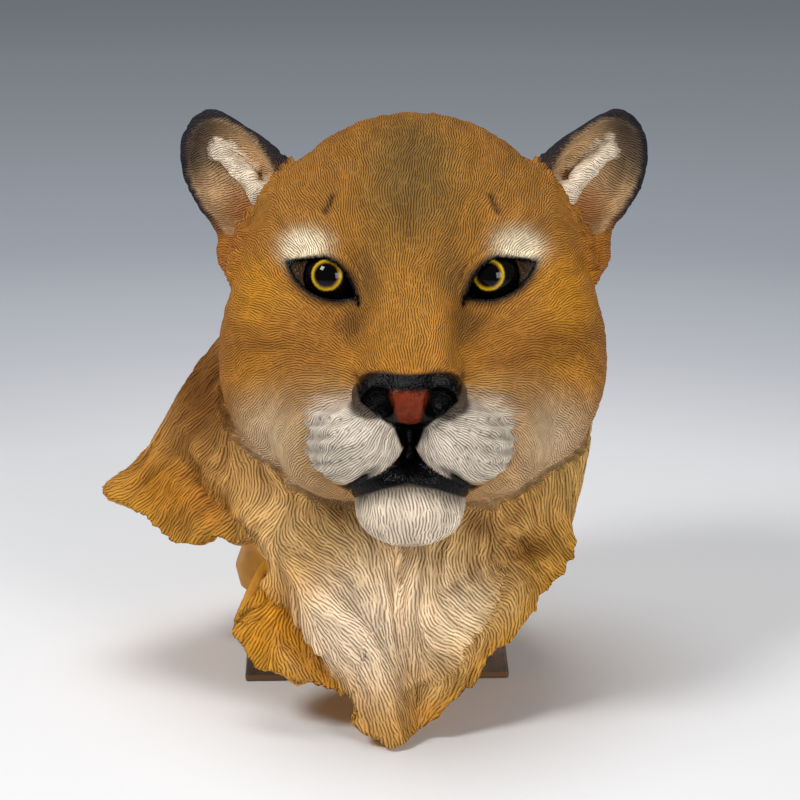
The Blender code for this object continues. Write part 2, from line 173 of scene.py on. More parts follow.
def make_lamp(lamp):
    light = bpy.data.lights.new(lamp.name, "AREA")
    light.size = lamp.size
    light.energy = lamp.power
    obj = bpy.data.objects.new(lamp.name, light)
    obj.location = lamp.place
    obj.rotation_euler = (AIM - obj.location).to_track_quat("-Z", "Y").to_euler()
    bpy.context.scene.collection.objects.link(obj)


for lamp in LAMPS:
    make_lamp(lamp)
world = bpy.data.worlds.new("studio")
world.use_nodes = True
put(world.node_tree.nodes["Background"], Color=(*SKY, 1), Strength=SKY_STRENGTH)
bpy.context.scene.world = world
bpy.context.scene.view_settings.view_transform = "Standard"
print(len(LAMPS), "soft lights")

# %% [markdown]
# ## The masses of the head
# A modeller would build the head from balls of clay pressed together. Here each ball is a distance
# field, and a smooth minimum thumbs neighbours into each other. The sizes are those of the solid
# model, so the fine skin lies where the coarse one did. The head has its own axes: right, up
# towards the crown, and forward to the nose.

# %% Distances


def mm(*values):
    """Lengths written in millimetres, as metres."""
    return np.array(values, float) * MM


def ellipsoid(points, centre, radii, tilt=0.0):
    """Signed distance to an ellipsoid that is tilted in the plane of the face, in degrees."""
    p = points - centre
    if tilt:
        c, s = cos(radians(tilt)), sin(radians(tilt))
        p = np.stack([c * p[:, 0] + s * p[:, 1], c * p[:, 1] - s * p[:, 0], p[:, 2]], 1)
    near = np.linalg.norm(p / radii, axis=1)
    slope = np.linalg.norm(p / radii**2, axis=1) + 1e-9
    return near * (near - 1.0) / slope


def bar(points, start, end, radius, end_radius=None):
    """Signed distance to a round bar, which may grow thicker towards its end."""
    axis = end - start
    along = np.clip((points - start) @ axis / (axis @ axis), 0, 1)
    thick = radius if end_radius is None else radius + along * (end_radius - radius)
    return np.linalg.norm(points - start - along[:, None] * axis, axis=1) - thick


def line_distance(points, line):
    """Distance to a line through the given places."""
    return np.minimum.reduce([bar(points, start, end, 0) for start, end in zip(line[:-1], line[1:])])


def blend(one, other, width):
    """Union of two masses with a fillet of the given width, as clay is thumbed together."""
    h = np.clip(0.5 + 0.5 * (other - one) / width, 0, 1)
    return other * (1 - h) + one * h - width * h * (1 - h)


def carve(mass, cutter, width):
    """The mass with the cutter taken away, its edge eased."""
    return -blend(-mass, cutter, width)


def bell(distance, width):
    return np.exp(-((distance / width) ** 2))


def ease(value, start, end):
    """0 before start, 1 after end, and smooth between."""
    t = np.clip((value - start) / (end - start), 0, 1)
    return t * t * (3 - 2 * t)


def ease_mm(value, start, end):
    """The same between two lengths in millimetres."""
    return ease(value, start * MM, end * MM)


# %% Seeded noise


def noise(points, size, seed=0):
    """Smooth noise from -1 to 1 with lumps of the given size, the same on every run."""
    table = np.random.default_rng(seed).uniform(-1, 1, 4096)
    q = points / size
    cell = np.floor(q).astype(np.int64)
    f = q - cell
    f = f * f * (3 - 2 * f)
    total = np.zeros(len(points))
    for n in range(8):
        i, j, k = n & 1, n >> 1 & 1, n >> 2
        key = (cell[:, 0] + i) * 73856093 ^ (cell[:, 1] + j) * 19349663 ^ (cell[:, 2] + k) * 83492791
        share = (f[:, 0] if i else 1 - f[:, 0]) * (f[:, 1] if j else 1 - f[:, 1])
        total += table[key & 4095] * share * (f[:, 2] if k else 1 - f[:, 2])
    return total


# %% Clay masses of the skull, the muzzle and the nose
HEAD_CENTRE = mm(18.2, -24.7, 187.3)
HEAD_PITCH = radians(14.0)
HEAD_TURN = radians(1.2)
HEAD_LOW = mm(-126, -118, -130)
HEAD_HIGH = mm(126, 110, 112)
Form = namedtuple("Form", "name centre radii tilt blend")
SKULL = Form("cranium", mm(0, 21, -32), mm(78, 77, 78), 0, 0)
SKULL_FORMS = (
    Form("temple", mm(48, 22, -20), mm(38, 45, 48), 0, 12 * MM),
    Form("cheek ruff", mm(44, -24, -8), mm(50, 59, 48), 0, 14 * MM),
    Form("nape", mm(0, -20, -62), mm(66, 62, 50), 0, 20 * MM),
    Form("cheekbone", mm(55, -6, 10), mm(31, 26, 34), 0, 14 * MM),
    Form("jaw", mm(0, -62, 14), mm(54, 32, 58), 0, 12 * MM),
    Form("muzzle side", mm(30, -42, 30), mm(33, 33, 40), 0, 22 * MM),
    Form("lip corner", mm(38, -64, 34), mm(23, 23, 36), 0, 14 * MM),
    Form("brow", mm(31, 33, 20), mm(26, 13, 17), 18, 9 * MM),
    Form("ear base", mm(87, 31, -38), mm(11, 15, 14), 0, 5 * MM),
)
BRIDGE_TOP = mm(0, 34, 10)
BRIDGE_END = mm(0, -31, 72)
BRIDGE_RADII = mm(17, 23)
BRIDGE_BLEND = 16 * MM
FACE_FORMS = (
    Form("lower lip", mm(0, -80, 62), mm(31, 11, 25), 0, 4 * MM),
    Form("chin", mm(0, -92, 61), mm(25, 18.5, 25), 0, 5 * MM),
    Form("upper lip", mm(23, -63, 68), mm(23.5, 20.5, 26), -18, 4 * MM),
    Form("nose tip", mm(0, -42, 85), mm(19, 12.5, 17), 0, 4 * MM),
    Form("nose wing", mm(15.5, -40.5, 83), mm(10.5, 10, 16), -24, 2.5 * MM),
)


def head_matrix():
    """From the head's own axes to the object's: nose towards -Y, tipped up and turned a little."""
    tip = Matrix.Rotation(-HEAD_PITCH, 4, "X")
    turn = Matrix.Rotation(-HEAD_TURN, 4, "Z")
    swap = Matrix(((1, 0, 0, 0), (0, 0, -1, 0), (0, 1, 0, 0), (0, 0, 0, 1)))
    return Matrix.Translation(HEAD_CENTRE.tolist()) @ tip @ turn @ swap


def in_head(points):
    """Points of the object in the head's own axes."""
    back = np.array(head_matrix().inverted())
    return points @ back[:3, :3].T + back[:3, 3]


def mirrored(points):
    return np.column_stack([np.abs(points[:, 0]), points[:, 1], points[:, 2]])


print(len(SKULL_FORMS) + len(FACE_FORMS) + 1, "masses of clay")

# %% [markdown]
# ## Lids, ears and mouth
# The lids are a skin over the glass ball, opened by two arcs that cross in an almond. The ears are
# rounded bowls, hollowed from the front. Nostrils and the mouth line are cut last, as with a loop
# tool. Each is one more distance field, because fields never leave a torn edge.

# %% Eyelids
EYE_CENTRE = mm(37.7, 14.5, 30.5)
EYE_RADIUS = 12.5 * MM
LID_THICKNESS = 3.4 * MM
LID_MARGIN = 0.8 * MM
LID_CORNER_DEPTH = 2.0 * MM
LID_EDGE = 1.0 * MM
LID_BLEND = 5 * MM
LID_SLANT = radians(29.0)
UPPER_ARC = mm(3.2, -15.7, 22.3)
LOWER_ARC = mm(3.5, 14.0, 25.5)
LID_CORNER = mm(21.4, -3.1)
LID_FLAT = mm(12.9, 2.5)
UPPER_FOLD = 5.2 * MM
LOWER_FOLD = 6.0 * MM
FOLD_DEPTH = 0.9 * MM


def lid_opening(points):
    """Signed distance to the almond between the two lids, below zero inside it."""
    x, y = points[:, 0] - EYE_CENTRE[0], points[:, 1] - EYE_CENTRE[1]
    c, s = cos(LID_SLANT), sin(LID_SLANT)
    along, across = c * x + s * y, c * y - s * x
    upper = np.hypot(along - UPPER_ARC[0], across - UPPER_ARC[1]) - UPPER_ARC[2]
    lower = np.hypot(along - LOWER_ARC[0], across - LOWER_ARC[1]) - LOWER_ARC[2]
    run, rise = (LID_FLAT - LID_CORNER) / np.linalg.norm(LID_FLAT - LID_CORNER)
    upper = np.maximum(upper, rise * (along - LID_CORNER[0]) - run * (across - LID_CORNER[1]))
    return np.maximum(upper, lower), upper > lower


def set_eye(mass, p):
    """Lids drawn over the ball, creased once above and below, and opened to the almond."""
    reach = np.linalg.norm(p - EYE_CENTRE, axis=1)
    mass = blend(mass, reach - EYE_RADIUS - LID_THICKNESS, LID_BLEND)
    opening, above = lid_opening(p)
    crease = np.where(above, UPPER_FOLD, LOWER_FOLD)
    near = bell(reach - EYE_RADIUS - LID_THICKNESS, 9 * MM)
    mass = mass + FOLD_DEPTH * bell(opening - crease, 1.3 * MM) * near
    corner = -mass - LID_CORNER_DEPTH
    front = np.maximum(reach - EYE_RADIUS - 2 * LID_THICKNESS, EYE_CENTRE[2] + LID_THICKNESS - p[:, 2])
    slot = np.maximum(opening + LID_MARGIN, np.minimum(corner, front))
    mass = carve(mass, slot, LID_EDGE)
    return np.maximum(mass, EYE_RADIUS + 0.2 * MM - reach)


# %% Ears, nostrils and mouth line
EAR_CENTRE = mm(87, 67, -34)
EAR_RADII = mm(26, 37, 18)
EAR_CUP = mm(20.5, 31.5, 18)
EAR_CUP_FORWARD = 10.0 * MM
EAR_FRONT = 6.0 * MM
EAR_LEAN = radians(32.0)
EAR_YAW = radians(20.0)
EAR_TOP = mm(60, 77)
EAR_TOP_SLOPE = radians(33.0)
EAR_TUFT_TOP = mm(96, 81, -36)
EAR_TUFT_FOOT = mm(72.5, 56, -25.5)
EAR_TUFT_RADII = mm(4.2, 6)
TUFT_STRETCH = np.array([1.0, 1.0, 0.4])
NOSTRIL = Form("nostril", mm(14.8, -46.4, 99), mm(8.2, 9.4, 12), 28, 1.2 * MM)
LIP_LINE = mm((0, -69, 94), (5, -71.5, 93), (18, -78, 88), (31, -85, 72)).reshape(-1, 3)
LIP_GROOVE = 2.0 * MM
PHILTRUM_TOP = mm(0, -55, 98)
PHILTRUM_GROOVE = 1.5 * MM


def in_ear(points):
    """Points in axes that run across, along and out of the ear."""
    p = points - EAR_CENTRE
    c, s = cos(EAR_LEAN), sin(EAR_LEAN)
    p = np.stack([c * p[:, 0] - s * p[:, 1], s * p[:, 0] + c * p[:, 1], p[:, 2]], 1)
    c, s = cos(EAR_YAW), sin(EAR_YAW)
    return np.stack([c * p[:, 0] - s * p[:, 2], p[:, 1], s * p[:, 0] + c * p[:, 2]], 1)


def tuft_distance(points):
    """Distance to the tuft inside the ear, whose locks end in a ragged edge."""
    tuft = bar(points, EAR_TUFT_TOP, EAR_TUFT_FOOT, *EAR_TUFT_RADII)
    near = tuft < 3 * MM
    tuft[near] += 2.4 * MM * noise(points[near] * TUFT_STRETCH, 3.6 * MM, 7)
    return tuft


def add_ear(mass, points):
    p = in_ear(points)
    top = points[:, :2] - EAR_TOP
    above = cos(EAR_TOP_SLOPE) * top[:, 1] - sin(EAR_TOP_SLOPE) * top[:, 0]
    bowl = carve(ellipsoid(p, mm(0, 0, 0), EAR_RADII), EAR_FRONT - p[:, 2], 3 * MM)
    bowl = carve(bowl, -above, 4 * MM)
    hollow = ellipsoid(p, np.array([0, 0, EAR_CUP_FORWARD]), EAR_CUP)
    hollow = carve(hollow, -above - 4 * MM, 3 * MM)
    mass = carve(blend(mass, bowl, 7 * MM), hollow, 2 * MM)
    return blend(mass, tuft_distance(points), 1 * MM)


def lip_distance(p):
    """Distance to the mouth line and to the groove under the nose."""
    return line_distance(p, LIP_LINE), bar(p, PHILTRUM_TOP, LIP_LINE[0], 0)


def head_field(points):
    """Signed distance to the whole head; only the right half is described."""
    p = mirrored(points)
    mass = ellipsoid(p, SKULL.centre, SKULL.radii)
    for form in SKULL_FORMS:
        mass = blend(mass, ellipsoid(p, form.centre, form.radii, form.tilt), form.blend)
    mass = blend(mass, bar(p, BRIDGE_TOP, BRIDGE_END, *BRIDGE_RADII), BRIDGE_BLEND)
    for form in FACE_FORMS:
        mass = blend(mass, ellipsoid(p, form.centre, form.radii, form.tilt), form.blend)
    mass = add_ear(mass, p)
    mouth, philtrum = lip_distance(p)
    mass = carve(mass, np.minimum(mouth - LIP_GROOVE, philtrum - PHILTRUM_GROOVE), 1.5 * MM)
    mass = carve(mass, ellipsoid(p, NOSTRIL.centre, NOSTRIL.radii, NOSTRIL.tilt), NOSTRIL.blend)
    return set_eye(mass, p)


# %% [markdown]
# ## From field to skin
# A grid of small pyramids is cut where the field is zero, which gives a rough closed skin. A voxel
# remesh evens its faces out, and each point is then slid down the field's slope onto the true
# surface, so creases come out sharper than the grid.

# %% Pyramids


def crossed_pyramids(value):
    """Each grid cube cut into six pyramids round its long diagonal; those that the surface crosses."""
    number = np.arange(value.size).reshape(value.shape)
    corner = np.array([(n & 1, n >> 1 & 1, n >> 2) for n in range(8)])
    size = np.array(value.shape) - 1
    blocks = [(slice(i, i + size[0]), slice(j, j + size[1]), slice(k, k + size[2])) for i, j, k in corner]
    lowest = np.minimum.reduce([value[block] for block in blocks])
    highest = np.maximum.reduce([value[block] for block in blocks])
    mixed = (lowest < 0) & (highest > 0)
    cubes = np.stack([number[block][mixed] for block in blocks], 1)
    found, turned = [], []
    for one in (1, 2, 4):
        for two in (1, 2, 4):
            if one == two:
                continue
            path = [0, one, one + two, 7]
            found.append(cubes[:, path])
            turned.append(np.full(len(cubes), np.linalg.det(corner[path[1:]]) < 0))
    return np.concatenate(found), np.concatenate(turned)


# Ways to number a pyramid's corners so that one, or two, come first and its handedness stays
ONE_FIRST = ((0, 1, 2, 3), (1, 0, 3, 2), (2, 0, 1, 3), (3, 0, 2, 1))
TWO_FIRST = ((0, 1, 2, 3), (0, 2, 3, 1), (0, 3, 1, 2), (1, 2, 0, 3), (1, 3, 2, 0), (2, 3, 0, 1))
NEAREST_CROSSING = 0.08


def skin(field, low, high, cell):
    """Points and triangles where the field is zero, on a grid of the given cell."""
    steps = [np.arange(low[i], high[i] + cell, cell) for i in range(3)]
    nodes = np.stack(np.meshgrid(*steps, indexing="ij"), -1)
    value = field(nodes.reshape(-1, 3))
    nearest = NEAREST_CROSSING * cell
    value = np.where(np.abs(value) < nearest, np.where(value < 0, -nearest, nearest), value)
    pyramids, turned = crossed_pyramids(value.reshape(nodes.shape[:3]))
    inside = value[pyramids] < 0
    ends = []
    for a, b, c, d in ONE_FIRST:
        for sign in (True, False):
            lone = (inside[:, a] == sign) & (inside[:, [b, c, d]] == (not sign)).all(1)
            t = pyramids[lone]
            tri = np.stack([t[:, [a, b]], t[:, [a, c]], t[:, [a, d]]], 1)
            flip = turned[lone] != (not sign)
            ends.append(np.where(flip[:, None, None], tri[:, ::-1], tri))
    for p, q, r, s in TWO_FIRST:
        pair = inside[:, p] & inside[:, q] & ~inside[:, r] & ~inside[:, s]
        t, flip = pyramids[pair], turned[pair][:, None, None]
        for corners in (([p, r], [p, s], [q, s]), ([p, r], [q, s], [q, r])):
            tri = np.stack([t[:, pick] for pick in corners], 1)
            ends.append(np.where(flip, tri[:, ::-1], tri))
    ends = np.sort(np.concatenate(ends), axis=2)
    keys, which = np.unique(ends[..., 0] * value.size + ends[..., 1], return_inverse=True)
    first, second = keys // value.size, keys % value.size
    share = value[first] / (value[first] - value[second])
    place = nodes.reshape(-1, 3)
    return place[first] + share[:, None] * (place[second] - place[first]), which.reshape(-1, 3)


# %% Settling and mesh helpers
PROBE = 0.1 * MM
LEAST_SLOPE = 0.2
LONGEST_STEP = 0.4
ROUNDS = 3


def settle(field, points, cell):
    """Points moved down the field's slope until they lie on its surface."""
    for _ in range(ROUNDS):
        slope = np.empty_like(points)
        for axis in range(3):
            step = np.zeros(3)
            step[axis] = PROBE
            slope[:, axis] = (field(points + step) - field(points - step)) / (2 * PROBE)
        size = np.maximum((slope**2).sum(1), LEAST_SLOPE)
        move = -(field(points) / size)[:, None] * slope
        reach = np.linalg.norm(move, axis=1, keepdims=True)
        points = points + move * np.minimum(1, LONGEST_STEP * cell / np.maximum(reach, 1e-9))
    return points


def new_object(name, points, faces, matrix=None):
    mesh = bpy.data.meshes.new(name)
    mesh.from_pydata(points.tolist(), [], [list(map(int, face)) for face in faces])
    if matrix is not None:
        mesh.transform(matrix)
    mesh.update()
    obj = bpy.data.objects.new(name, mesh)
    bpy.context.scene.collection.objects.link(obj)
    return obj


def read(items, name, width, kind=np.float32):
    """A property of a mesh's points or faces, one row for each."""
    flat = np.empty(len(items) * width, kind)
    items.foreach_get(name, flat)
    return flat.reshape(-1, width)


def places(mesh):
    return read(mesh.vertices, "co", 3).astype(float)


def set_places(mesh, points):
    mesh.vertices.foreach_set("co", points.astype(np.float32).ravel())
    mesh.update()


def apply_modifiers(obj):
    """The object with its modifiers made real."""
    graph = bpy.context.evaluated_depsgraph_get()
    mesh = bpy.data.meshes.new_from_object(obj.evaluated_get(graph), depsgraph=graph)
    obj.modifiers.clear()
    obj.data = mesh
    return obj


# %% Skin of the head
ROUGH_CELL = 2.6 * MM
SKIN_CELL = 2.2 * MM


def fine_face(points):
    """True where the muzzle, nose, mouth and eyes need smaller faces."""
    p = mirrored(points)
    muzzle = ellipsoid(p, mm(0, -62, 84), mm(50, 38, 40)) < 0
    eye = ellipsoid(p, mm(39, 14, 38), mm(25, 15, 20)) < 0
    return muzzle | eye


def make_head():
    points, faces = skin(head_field, HEAD_LOW, HEAD_HIGH, ROUGH_CELL)
    head = new_object("head", points, faces)
    even = head.modifiers.new("even faces", "REMESH")
    even.mode = "VOXEL"
    even.voxel_size = SKIN_CELL
    apply_modifiers(head)
    set_places(head.data, settle(head_field, places(head.data), SKIN_CELL))
    bm = bmesh.new()
    bm.from_mesh(head.data)
    bm.verts.ensure_lookup_table()
    chosen = fine_face(places(head.data))
    edges = [e for e in bm.edges if chosen[e.verts[0].index] and chosen[e.verts[1].index]]
    bmesh.ops.subdivide_edges(bm, edges=edges, cuts=2, use_grid_fill=True)
    bmesh.ops.triangulate(bm, faces=bm.faces)
    bm.to_mesh(head.data)
    bm.free()
    points = places(head.data)
    near = fine_face(points)
    points[near] = settle(head_field, points[near], SKIN_CELL / 3)
    set_places(head.data, points)
    head.data.transform(head_matrix())
    print("head:", len(head.data.polygons), "faces")
    return head


bust = make_head()

# %% [markdown]
# ## The neck
# Below the jaw the cast is a skirt of fur: rings run down from the crown through the throat and the
# breast to a ragged hem, then turn under and climb down a smooth core to the block. A loft through
# those rings keeps its grid lines along the fur, which helps the carving later.

# %% Rings and hem of the neck
CROWN_CENTRE = mm(16, 22, 190)
CROWN_RADII = mm(56, 48)
CROWN_TILT = 38 * MM
THROAT = mm(
    (14, -58, 118), (62, -50, 128), (103, -14, 140), (80, 60, 150),
    (8, 96, 158), (-58, 74, 155), (-87, 15, 150), (-46, -45, 128),
).reshape(-1, 3)
BREAST = mm(
    (12, -95, 70), (66, -80, 84), (101, -28, 106), (84, 50, 105),
    (0, 100, 106), (-78, 74, 108), (-112, 8, 111), (-62, -60, 94),
).reshape(-1, 3)
HEM = (
    (-90, 10, -117, 1), (-80, 26, -112, 10), (-70, 45, -104, 23), (-60, 55, -96, 38),
    (-50, 69, -88, 48), (-38, 81, -76, 63), (-27, 94, -62, 73), (-18, 96, -50, 80),
    (-5, 92, -28, 70), (10, 98, -5, 78), (28, 92, 24, 64), (45, 86, 50, 72),
    (62, 60, 76, 58), (78, 32, 94, 66), (92, 2, 94, 56), (108, -28, 96, 66),
    (122, -56, 80, 58), (138, -86, 68, 72), (152, -106, 46, 66), (165, -124, 26, 84),
    (175, -136, 0, 92), (181, -128, -8, 86), (186, -116, -16, 84), (191, -107, -26, 77),
    (197, -97, -34, 73), (203, -87, -42, 75), (209, -77, -50, 80), (214, -66, -57, 81),
    (220, -55, -64, 80), (225, -51, -70, 68), (229, -50, -75, 57), (232, -56, -80, 56),
    (235, -63, -84, 53), (239, -67, -86, 45), (243, -64, -90, 40), (247, -57, -94, 33),
    (250, -50, -98, 31), (254, -34, -104, 28), (258, -23, -109, 26), (261, -13, -112, 24),
    (263.5, -8, -114, 17), (266, -11, -117, 12), (268, -2, -118, 5),
)
WALL = 6.0 * MM
UNDER_RISE = 12.0 * MM
UNDER_STEPS = (0.0, 0.12, 0.25, 0.4, 0.55, 0.7, 0.85)
CORE = mm((64, 66, 34), (53, 70, 36), (44, 68, 32), (38.3, 62, 24)).reshape(-1, 3)


def smooth_curve(p0, p1, p2, p3, f):
    """The point at share f between the middle two of four, on the smooth curve through all."""
    bend = 2 * p0 - 5 * p1 + 4 * p2 - p3
    return p1 + 0.5 * f * (p2 - p0 + f * (bend + f * (3 * (p1 - p2) + p3 - p0)))


def round_spline(values, where):
    """A closed smooth curve through evenly numbered values, read at the given numbers."""
    k = np.floor(where).astype(int)
    return smooth_curve(*(values[(k + i) % len(values)] for i in (-1, 0, 1, 2)), (where - k)[:, None])


def hem_turn(station):
    """The angle round the neck at a station of the hem, in radians."""
    angle = np.array(HEM, float)[:, 0]
    wrapped = np.append(angle, angle[0] + 360)
    return np.radians(np.interp(station, np.arange(len(wrapped)), wrapped))


def neck_surface(station, t):
    """A point of the neck for each station number, at depth t from 0 at the crown to 1 at the hem."""
    turn = hem_turn(station)
    ring = ((np.degrees(turn) + 90) % 360) / 45
    crown = np.column_stack([
        CROWN_CENTRE[0] + CROWN_RADII[0] * np.cos(turn),
        CROWN_CENTRE[1] + CROWN_RADII[1] * np.sin(turn),
        CROWN_CENTRE[2] + CROWN_TILT * np.sin(turn),
    ])
    throat, breast = round_spline(THROAT, ring), round_spline(BREAST, ring)
    edge = round_spline(np.array(HEM, float)[:, 1:] * MM, station)
    rows = np.stack([2 * crown - throat, crown, throat, breast, edge, 2 * edge - breast])
    k = min(int(t * 3), 2)
    return smooth_curve(*rows[k:k + 4], t * 3 - k)


# %% Relief strokes of the breast
Stroke = namedtuple("Stroke", "name line width height")
STROKES = (
    Stroke("breast roll", ((-38, 76), (-20, 53), (-4, 38), (6, 18), (9, 2)), 11, 6.5),
    Stroke("breast valley", ((9, 92), (11, 69), (18, 33), (22, 9)), 5.5, -6),
    Stroke("lobe groove", ((-45, 60), (-33, 41), (-15, 22)), 5, -3.5),
    Stroke("right hollow", ((80, 86), (66, 78)), 8, -6.5),
    Stroke("throat hollow", ((50, 97), (46, 92)), 9, -3),
    Stroke("throat fold", ((-16, 101), (-11, 88)), 6, -3),
    Stroke("shoulder groove", ((-103, 115), (-86, 102), (-70, 88)), 6, -6),
    Stroke("shoulder ridge", ((-92, 122), (-74, 108), (-60, 94)), 6, 2.5),
    Stroke("second throat fold", ((-36, 104), (-28, 92), (-14, 80)), 4, -2),
    Stroke("right throat fold", ((66, 104), (50, 84), (34, 70)), 5, -2.5),
    Stroke("right layer", ((66, 66), (54, 50), (44, 38), (36, 29), (24, 24)), 6, 4),
)
Ledge = namedtuple("Ledge", "name line drop reach")
LEDGES = (
    Ledge("under the right layer", ((60, 68), (57, 62), (49, 49), (42, 40), (37, 31), (23, 27)), 3.5, 13),
    Ledge("golden lobe", ((-14, 24), (-30, 42), (-41, 56), (-48, 60)), 3.0, 14),
)
NOTCH = mm(-57, 73)
NOTCH_REACH = 9 * MM
NOTCH_PULL = 6 * MM


def ledge_share(points, ledge):
    """1 just below a ledge, fading with distance; 0 above it. Below is to the left along its line."""
    line = np.array(ledge.line, float) * MM
    flat = points[:, [0, 2]]
    away, side = np.full(len(points), 1.0), np.zeros(len(points))
    for start, end in zip(line[:-1], line[1:]):
        reach = bar(flat, start, end, 0)
        run, rise = (end - start) / np.linalg.norm(end - start)
        nearer = reach < away
        away[nearer] = reach[nearer]
        side[nearer] = (run * (flat[:, 1] - start[1]) - rise * (flat[:, 0] - start[0]))[nearer]
    ragged = 1.6 * MM * noise(points, 3.2 * MM, 12) + 0.8 * MM * noise(points, 1.6 * MM, 13)
    below = ease_mm(np.sign(side) * away + ragged, -0.6, 0.6)
    fade = ease(away, 0.45 * ledge.reach * MM, ledge.reach * MM)
    return below * (1 - fade) * (points[:, 1] < -30 * MM)


def stroke_height(points):
    """How far the strokes raise each point of the coat; they stay on the front."""
    total = np.zeros(len(points))
    for stroke in STROKES:
        away = line_distance(points[:, [0, 2]], np.array(stroke.line) * MM)
        total += stroke.height * MM * bell(away, stroke.width * MM)
    for ledge in LEDGES:
        total -= ledge.drop * MM * ledge_share(points, ledge)
    return total * np.clip(-points[:, 1] / (30 * MM), 0, 1)


# %% Skin of the neck
FRONT_SPACING = 1.5 * MM
BACK_SPACING = 3.2 * MM
ROWS = 70
HIDDEN_ROWS = 6
HIDDEN_DEPTH = 0.26
SCALLOP = 2.2 * MM
TUFT = 1.0 * MM


def even_stations():
    """Station numbers that lie evenly along the hem, closer together in front than behind."""
    fine = np.linspace(0, len(HEM), 4001)
    edge = neck_surface(fine, 1.0)
    step = np.linalg.norm(np.diff(edge, axis=0), axis=1)
    front = ease_mm(-edge[:-1, 1], -20, 20)
    wanted = BACK_SPACING + (FRONT_SPACING - BACK_SPACING) * front
    count = np.concatenate([[0], np.cumsum(step / wanted)])
    return np.interp(np.arange(int(count[-1])), count, fine)


def core_ring(station, height, half_width, half_depth):
    c, s = np.cos(hem_turn(station)), np.sin(hem_turn(station))
    reach = (np.abs(c) ** 3 + np.abs(s) ** 3) ** (-1 / 3)
    return np.column_stack([half_width * reach * c, half_depth * reach * s, np.full(len(c), height)])


def coat_rings(station):
    depth = np.concatenate([np.linspace(0, HIDDEN_DEPTH, HIDDEN_ROWS, endpoint=False),
                            np.linspace(HIDDEN_DEPTH, 1, ROWS)])
    coat = np.stack([neck_surface(station, t) for t in depth])
    out = np.cross(np.roll(coat, -1, 1) - np.roll(coat, 1, 1), np.gradient(coat, axis=0))
    out /= np.maximum(np.linalg.norm(out, axis=2, keepdims=True), 1e-12)
    out *= np.sign((out * (coat - np.array([0, 0, 100 * MM]))).sum())
    coat += out * stroke_height(coat.reshape(-1, 3)).reshape(len(coat), -1, 1)
    ragged = SCALLOP * noise(coat[-1], 7 * MM, 3) + TUFT * noise(coat[-1], 2.4 * MM, 4)
    ragged *= ease_mm(coat[-1][:, 2], 4, 20)
    near_notch = bell(np.linalg.norm(coat[..., [0, 2]] - NOTCH, axis=2), NOTCH_REACH)
    coat[..., 0] += NOTCH_PULL * near_notch * (coat[..., 1] < -30 * MM)
    down = coat[-1] - coat[-6]
    down /= np.linalg.norm(down, axis=1, keepdims=True)
    share = ease(depth, 0.86, 1.0)
    return coat + share[:, None, None] * (ragged[:, None] * down)[None]


def make_neck():
    """One closed skin: down the coat to the hem, back under it, and down the core to its seat."""
    station = even_stations()
    columns = len(station)
    rings = list(coat_rings(station))
    hem = rings[-1]
    inward = np.cross(np.roll(hem, -3, 0) - np.roll(hem, 3, 0), hem - rings[-8])
    inward /= np.linalg.norm(inward, axis=1, keepdims=True)
    inward *= np.sign((inward * (np.array([0, -20 * MM, 0]) - hem)).sum(1))[:, None]
    lip = hem + inward * WALL
    ceiling = core_ring(station, *CORE[0])
    coat_rows = len(rings)
    rings += [hem + inward * WALL * 0.35 - (hem - rings[-2]) * 0.2, hem + inward * WALL * 0.75]
    for f in UNDER_STEPS:
        ring = lip + (ceiling - lip) * f
        ring[:, 2] += UNDER_RISE * 4 * f * (1 - f)
        rings.append(ring)
    rings += [core_ring(station, *row) for row in CORE]
    faces, smooth_side = [], []
    for row in range(len(rings) - 1):
        a, b = row * columns, (row + 1) * columns
        for i in range(columns):
            j = (i + 1) % columns
            faces.append((a + i, b + i, b + j, a + j))
            smooth_side.append(row >= coat_rows + 1)
    last = (len(rings) - 1) * columns
    faces.append(tuple(range(columns)))
    faces.append(tuple(last + i for i in reversed(range(columns))))
    neck = new_object("neck", np.concatenate(rings), faces)
    smooth_side += [False, True]
    neck.data.polygons.foreach_set("material_index", np.array(smooth_side, np.int32))
    print("neck:", columns, "columns,", len(faces), "faces")
    return neck


neck = make_neck()

# %% Join head and neck
coat_material = bpy.data.materials.new("carved coat")
inner_material = bpy.data.materials.new("smooth inner resin")


def join(head, neck):
    for obj in (head, neck):
        obj.data.materials.append(coat_material)
        obj.data.materials.append(inner_material)
    union = head.modifiers.new("neck", "BOOLEAN")
    union.operation = "UNION"
    union.solver = "MANIFOLD"
    union.object = neck
    apply_modifiers(head)
    bpy.data.objects.remove(neck, do_unlink=True)
    head.name = "carved_head"
    bm = bmesh.new()
    bm.from_mesh(head.data)
    bmesh.ops.dissolve_degenerate(bm, dist=0.02 * MM, edges=bm.edges)
    bmesh.ops.triangulate(bm, faces=bm.faces)
    bm.to_mesh(head.data)
    bm.free()
    print("joined:", len(head.data.polygons), "triangles")


join(bust, neck)

# %% [markdown]
# ## Combing the fur
# The carver's tool follows the lie of the coat: away from the nose over the face, down the neck and
# into a point on the breast. A few combing strokes say which way it goes, and every point of the
# skin takes the mean of the strokes near it.

